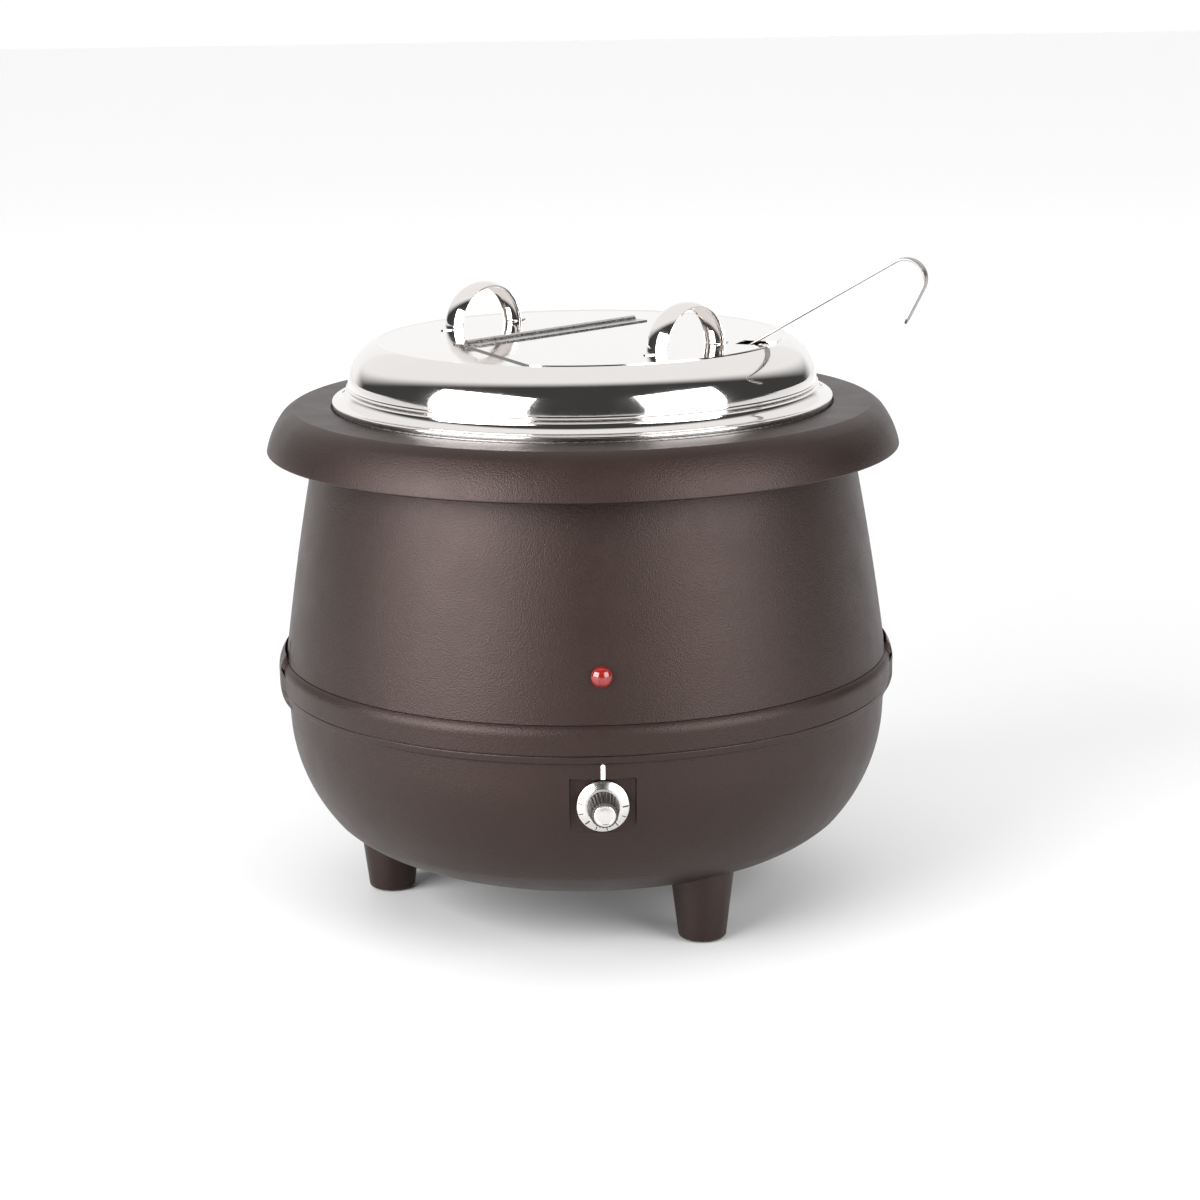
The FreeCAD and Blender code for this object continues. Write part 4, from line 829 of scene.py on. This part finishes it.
half = HALF_STRAP * np.sqrt(np.clip(1 - (1 - np.clip(to_end / HALF_STRAP, 0.02, 1)) ** 2, 0, 1))
rim_turn = np.linspace(0, 2 * math.pi, 36, endpoint=False)
thick = np.sign(np.sin(rim_turn)) * np.abs(np.sin(rim_turn)) ** 0.35 * HALF_SHEET
wide = np.sign(np.cos(rim_turn)) * np.abs(np.cos(rim_turn)) ** 0.55
strap = np.stack([path[:, None, 0] + normal[:, None, 0] * thick, half[:, None] * wide[None] + 0 * thick,
                  path[:, None, 1] + normal[:, None, 1] * thick], -1)
grid_piece("ladle_handle", turned_about_z(strap, LADLE_TURN), "ladle", FINISH["ladle_steel"],
           around=False, hides=["ladle_strap"])
print("ladle path", len(path), "stations")

# %% [markdown]
# The ladle's bowl is half a ball with a short straight rim, pressed from sheet. Its own axis is square to the
# handle, so it is turned on the lathe upright and each point is then placed along the handle's two
# directions. The handle covers the joint, and the lid hides the bowl until it opens.

# %% Ladle bowl
LADLE_RADIUS, LADLE_RIM = 41, 14
cup_line = trace([(0.0, -LADLE_RADIUS, LADLE_RADIUS), (LADLE_RADIUS, 0), (LADLE_RADIUS, LADLE_RIM - 0.6),
                  (LADLE_RADIUS - 0.6, LADLE_RIM), (LADLE_RADIUS - 1.2, LADLE_RIM - 0.6),
                  (LADLE_RADIUS - 1.2, 0, -(LADLE_RADIUS - 1.2)), (0, -LADLE_RADIUS + 1.2)], 24)
cup = spun(cup_line, full_turn(120))
centre = exit_point - along * (INSIDE - LADLE_RIM / 2 - 1) + upward * (LADLE_RADIUS + 0.8)
cup_points = np.stack([centre[0] + upward[0] * cup[..., 0] + along[0] * cup[..., 2], cup[..., 1],
                       centre[1] + upward[1] * cup[..., 0] + along[1] * cup[..., 2]], -1)
grid_piece("ladle_cup", turned_about_z(cup_points, LADLE_TURN), "ladle", FINISH["ladle_steel"],
           along=False, hides=["ladle_bowl"])
print("ladle bowl", 2 * LADLE_RADIUS, "mm across")

# %% [markdown]
# The knob has a bevelled metal dial with scale lines, a fluted plastic column and a turned metal cap. The
# flutes are a ripple in the radius, so they fade towards the tip by themselves.

# %% Knob
SKIRT = (skirt_high[0] - skirt_low[0]) / 2
BACK, FRONT = -skirt_high[1], -skirt_low[1]
skirt_line = trace([(3.1, BACK), (SKIRT - 0.5, BACK), (SKIRT, BACK + 0.5), (SKIRT, BACK + 1.2),
                    (SKIRT - 4.4, FRONT - 0.1), (SKIRT - 5.2, FRONT), (3.1, FRONT)])
grid_piece("dial", to_front(spun(soften(skirt_line, 0.3), full_turn(160)), DIAL_HEIGHT), "knob",
           FINISH["dial_metal"], hides=["knob_skirt"])
ROOT, TIP, COLUMN = 9.75, 8.0, 15.6
column_line = soften(trace([(3.1, FRONT), (ROOT, FRONT), (ROOT, FRONT + 1.4), (TIP, FRONT + COLUMN - 1),
                            (TIP - 1, FRONT + COLUMN), (0, FRONT + COLUMN), (0, FRONT + COLUMN - 6),
                            (3.1, FRONT + COLUMN - 6)]), 0.5)
column_line = np.concatenate([resample(column_line[:-3], 60), column_line[-3:]])
turn = full_turn(24 * 10)
flutes = (np.abs(np.sin(12 * turn)) ** 0.7)[:, None]
on_side = step(column_line[:, 0] - 6.2, 1.0)[None]
grip = spun(column_line, turn)
shrink = 1 - (1 - flutes) * on_side * 0.07
grip[..., :2] *= shrink[..., None]
grid_piece("knob_column", to_front(grip, DIAL_HEIGHT), "knob", FINISH["knob_plastic"],
           hides=["knob_grip"])
CAP = FRONT + COLUMN
cap_line = trace([(0.0, CAP), (6.5, CAP), (6.5, CAP + 0.7), (6.1, CAP + 1.15), (5.2, CAP + 1.2),
                  (4.9, CAP + 1.0), (4.4, CAP + 1.1), (0, CAP + 1.45)])
grid_piece("cap", to_front(spun(soften(cap_line, 0.2, False), full_turn(96)), DIAL_HEIGHT), "knob",
           FINISH["dial_metal"], along=False, hides=["knob_cap"])


def scale_line(angle, inner, outer, width):
    """A thin raised bar on the dial's bevel between two radii, at an angle from the top."""
    radii = np.linspace(inner, outer, 6)
    level = np.interp(radii, [SKIRT - 4.4, SKIRT], [FRONT - 0.1, BACK + 1.2])
    across = np.array([-0.5, 0.5, 0.5, -0.5]) * width
    proud = np.array([0.07, 0.07, -0.3, -0.3])
    x = radii[:, None] * math.sin(angle) + across[None] * math.cos(angle)
    y = radii[:, None] * math.cos(angle) - across[None] * math.sin(angle)
    return np.stack([x, y, level[:, None] + proud[None]], -1)


for number in range(11):
    angle = math.radians(-number * 27)
    long_line = number % 5 == 0
    bar = scale_line(angle, SKIRT - (4.2 if long_line else 3.2), SKIRT - 0.6, 0.9 if long_line else 0.55)
    grid_piece("scale_line_%02d" % number, to_front(bar, DIAL_HEIGHT), "knob", black_paint,
               around=False)
print("knob", round(2 * SKIRT, 1), "mm across")

# %% [markdown]
# The pilot lamp is a clear red plastic dome on a short straight wall, pushed through the casing. A ball cut
# in half would be too high, so the dome is an arc of a larger radius that meets the wall at a small edge.

# %% Lamp
lens_low, lens_high = box_mm("lamp_lens")
LAMP_HEIGHT, LAMP = (lens_low[2] + lens_high[2]) / 2, (lens_high[0] - lens_low[0]) / 2
LENS_TOP, LENS_BACK = -lens_low[1], -lens_high[1]
lens_line = trace([(0.0, LENS_BACK), (LAMP, LENS_BACK), (LAMP, LENS_TOP - 3.6),
                   (LAMP - 0.3, LENS_TOP - 3.1, 7.5), (0, LENS_TOP)], 20)
grid_piece("pilot_lens", to_front(spun(soften(lens_line, 0.3, False), full_turn(96)), LAMP_HEIGHT), "housing",
           FINISH["lamp_red"], along=False, hides=["lamp_lens"])
print("lamp", round(2 * LAMP, 2), "mm across at", round(LAMP_HEIGHT, 1))
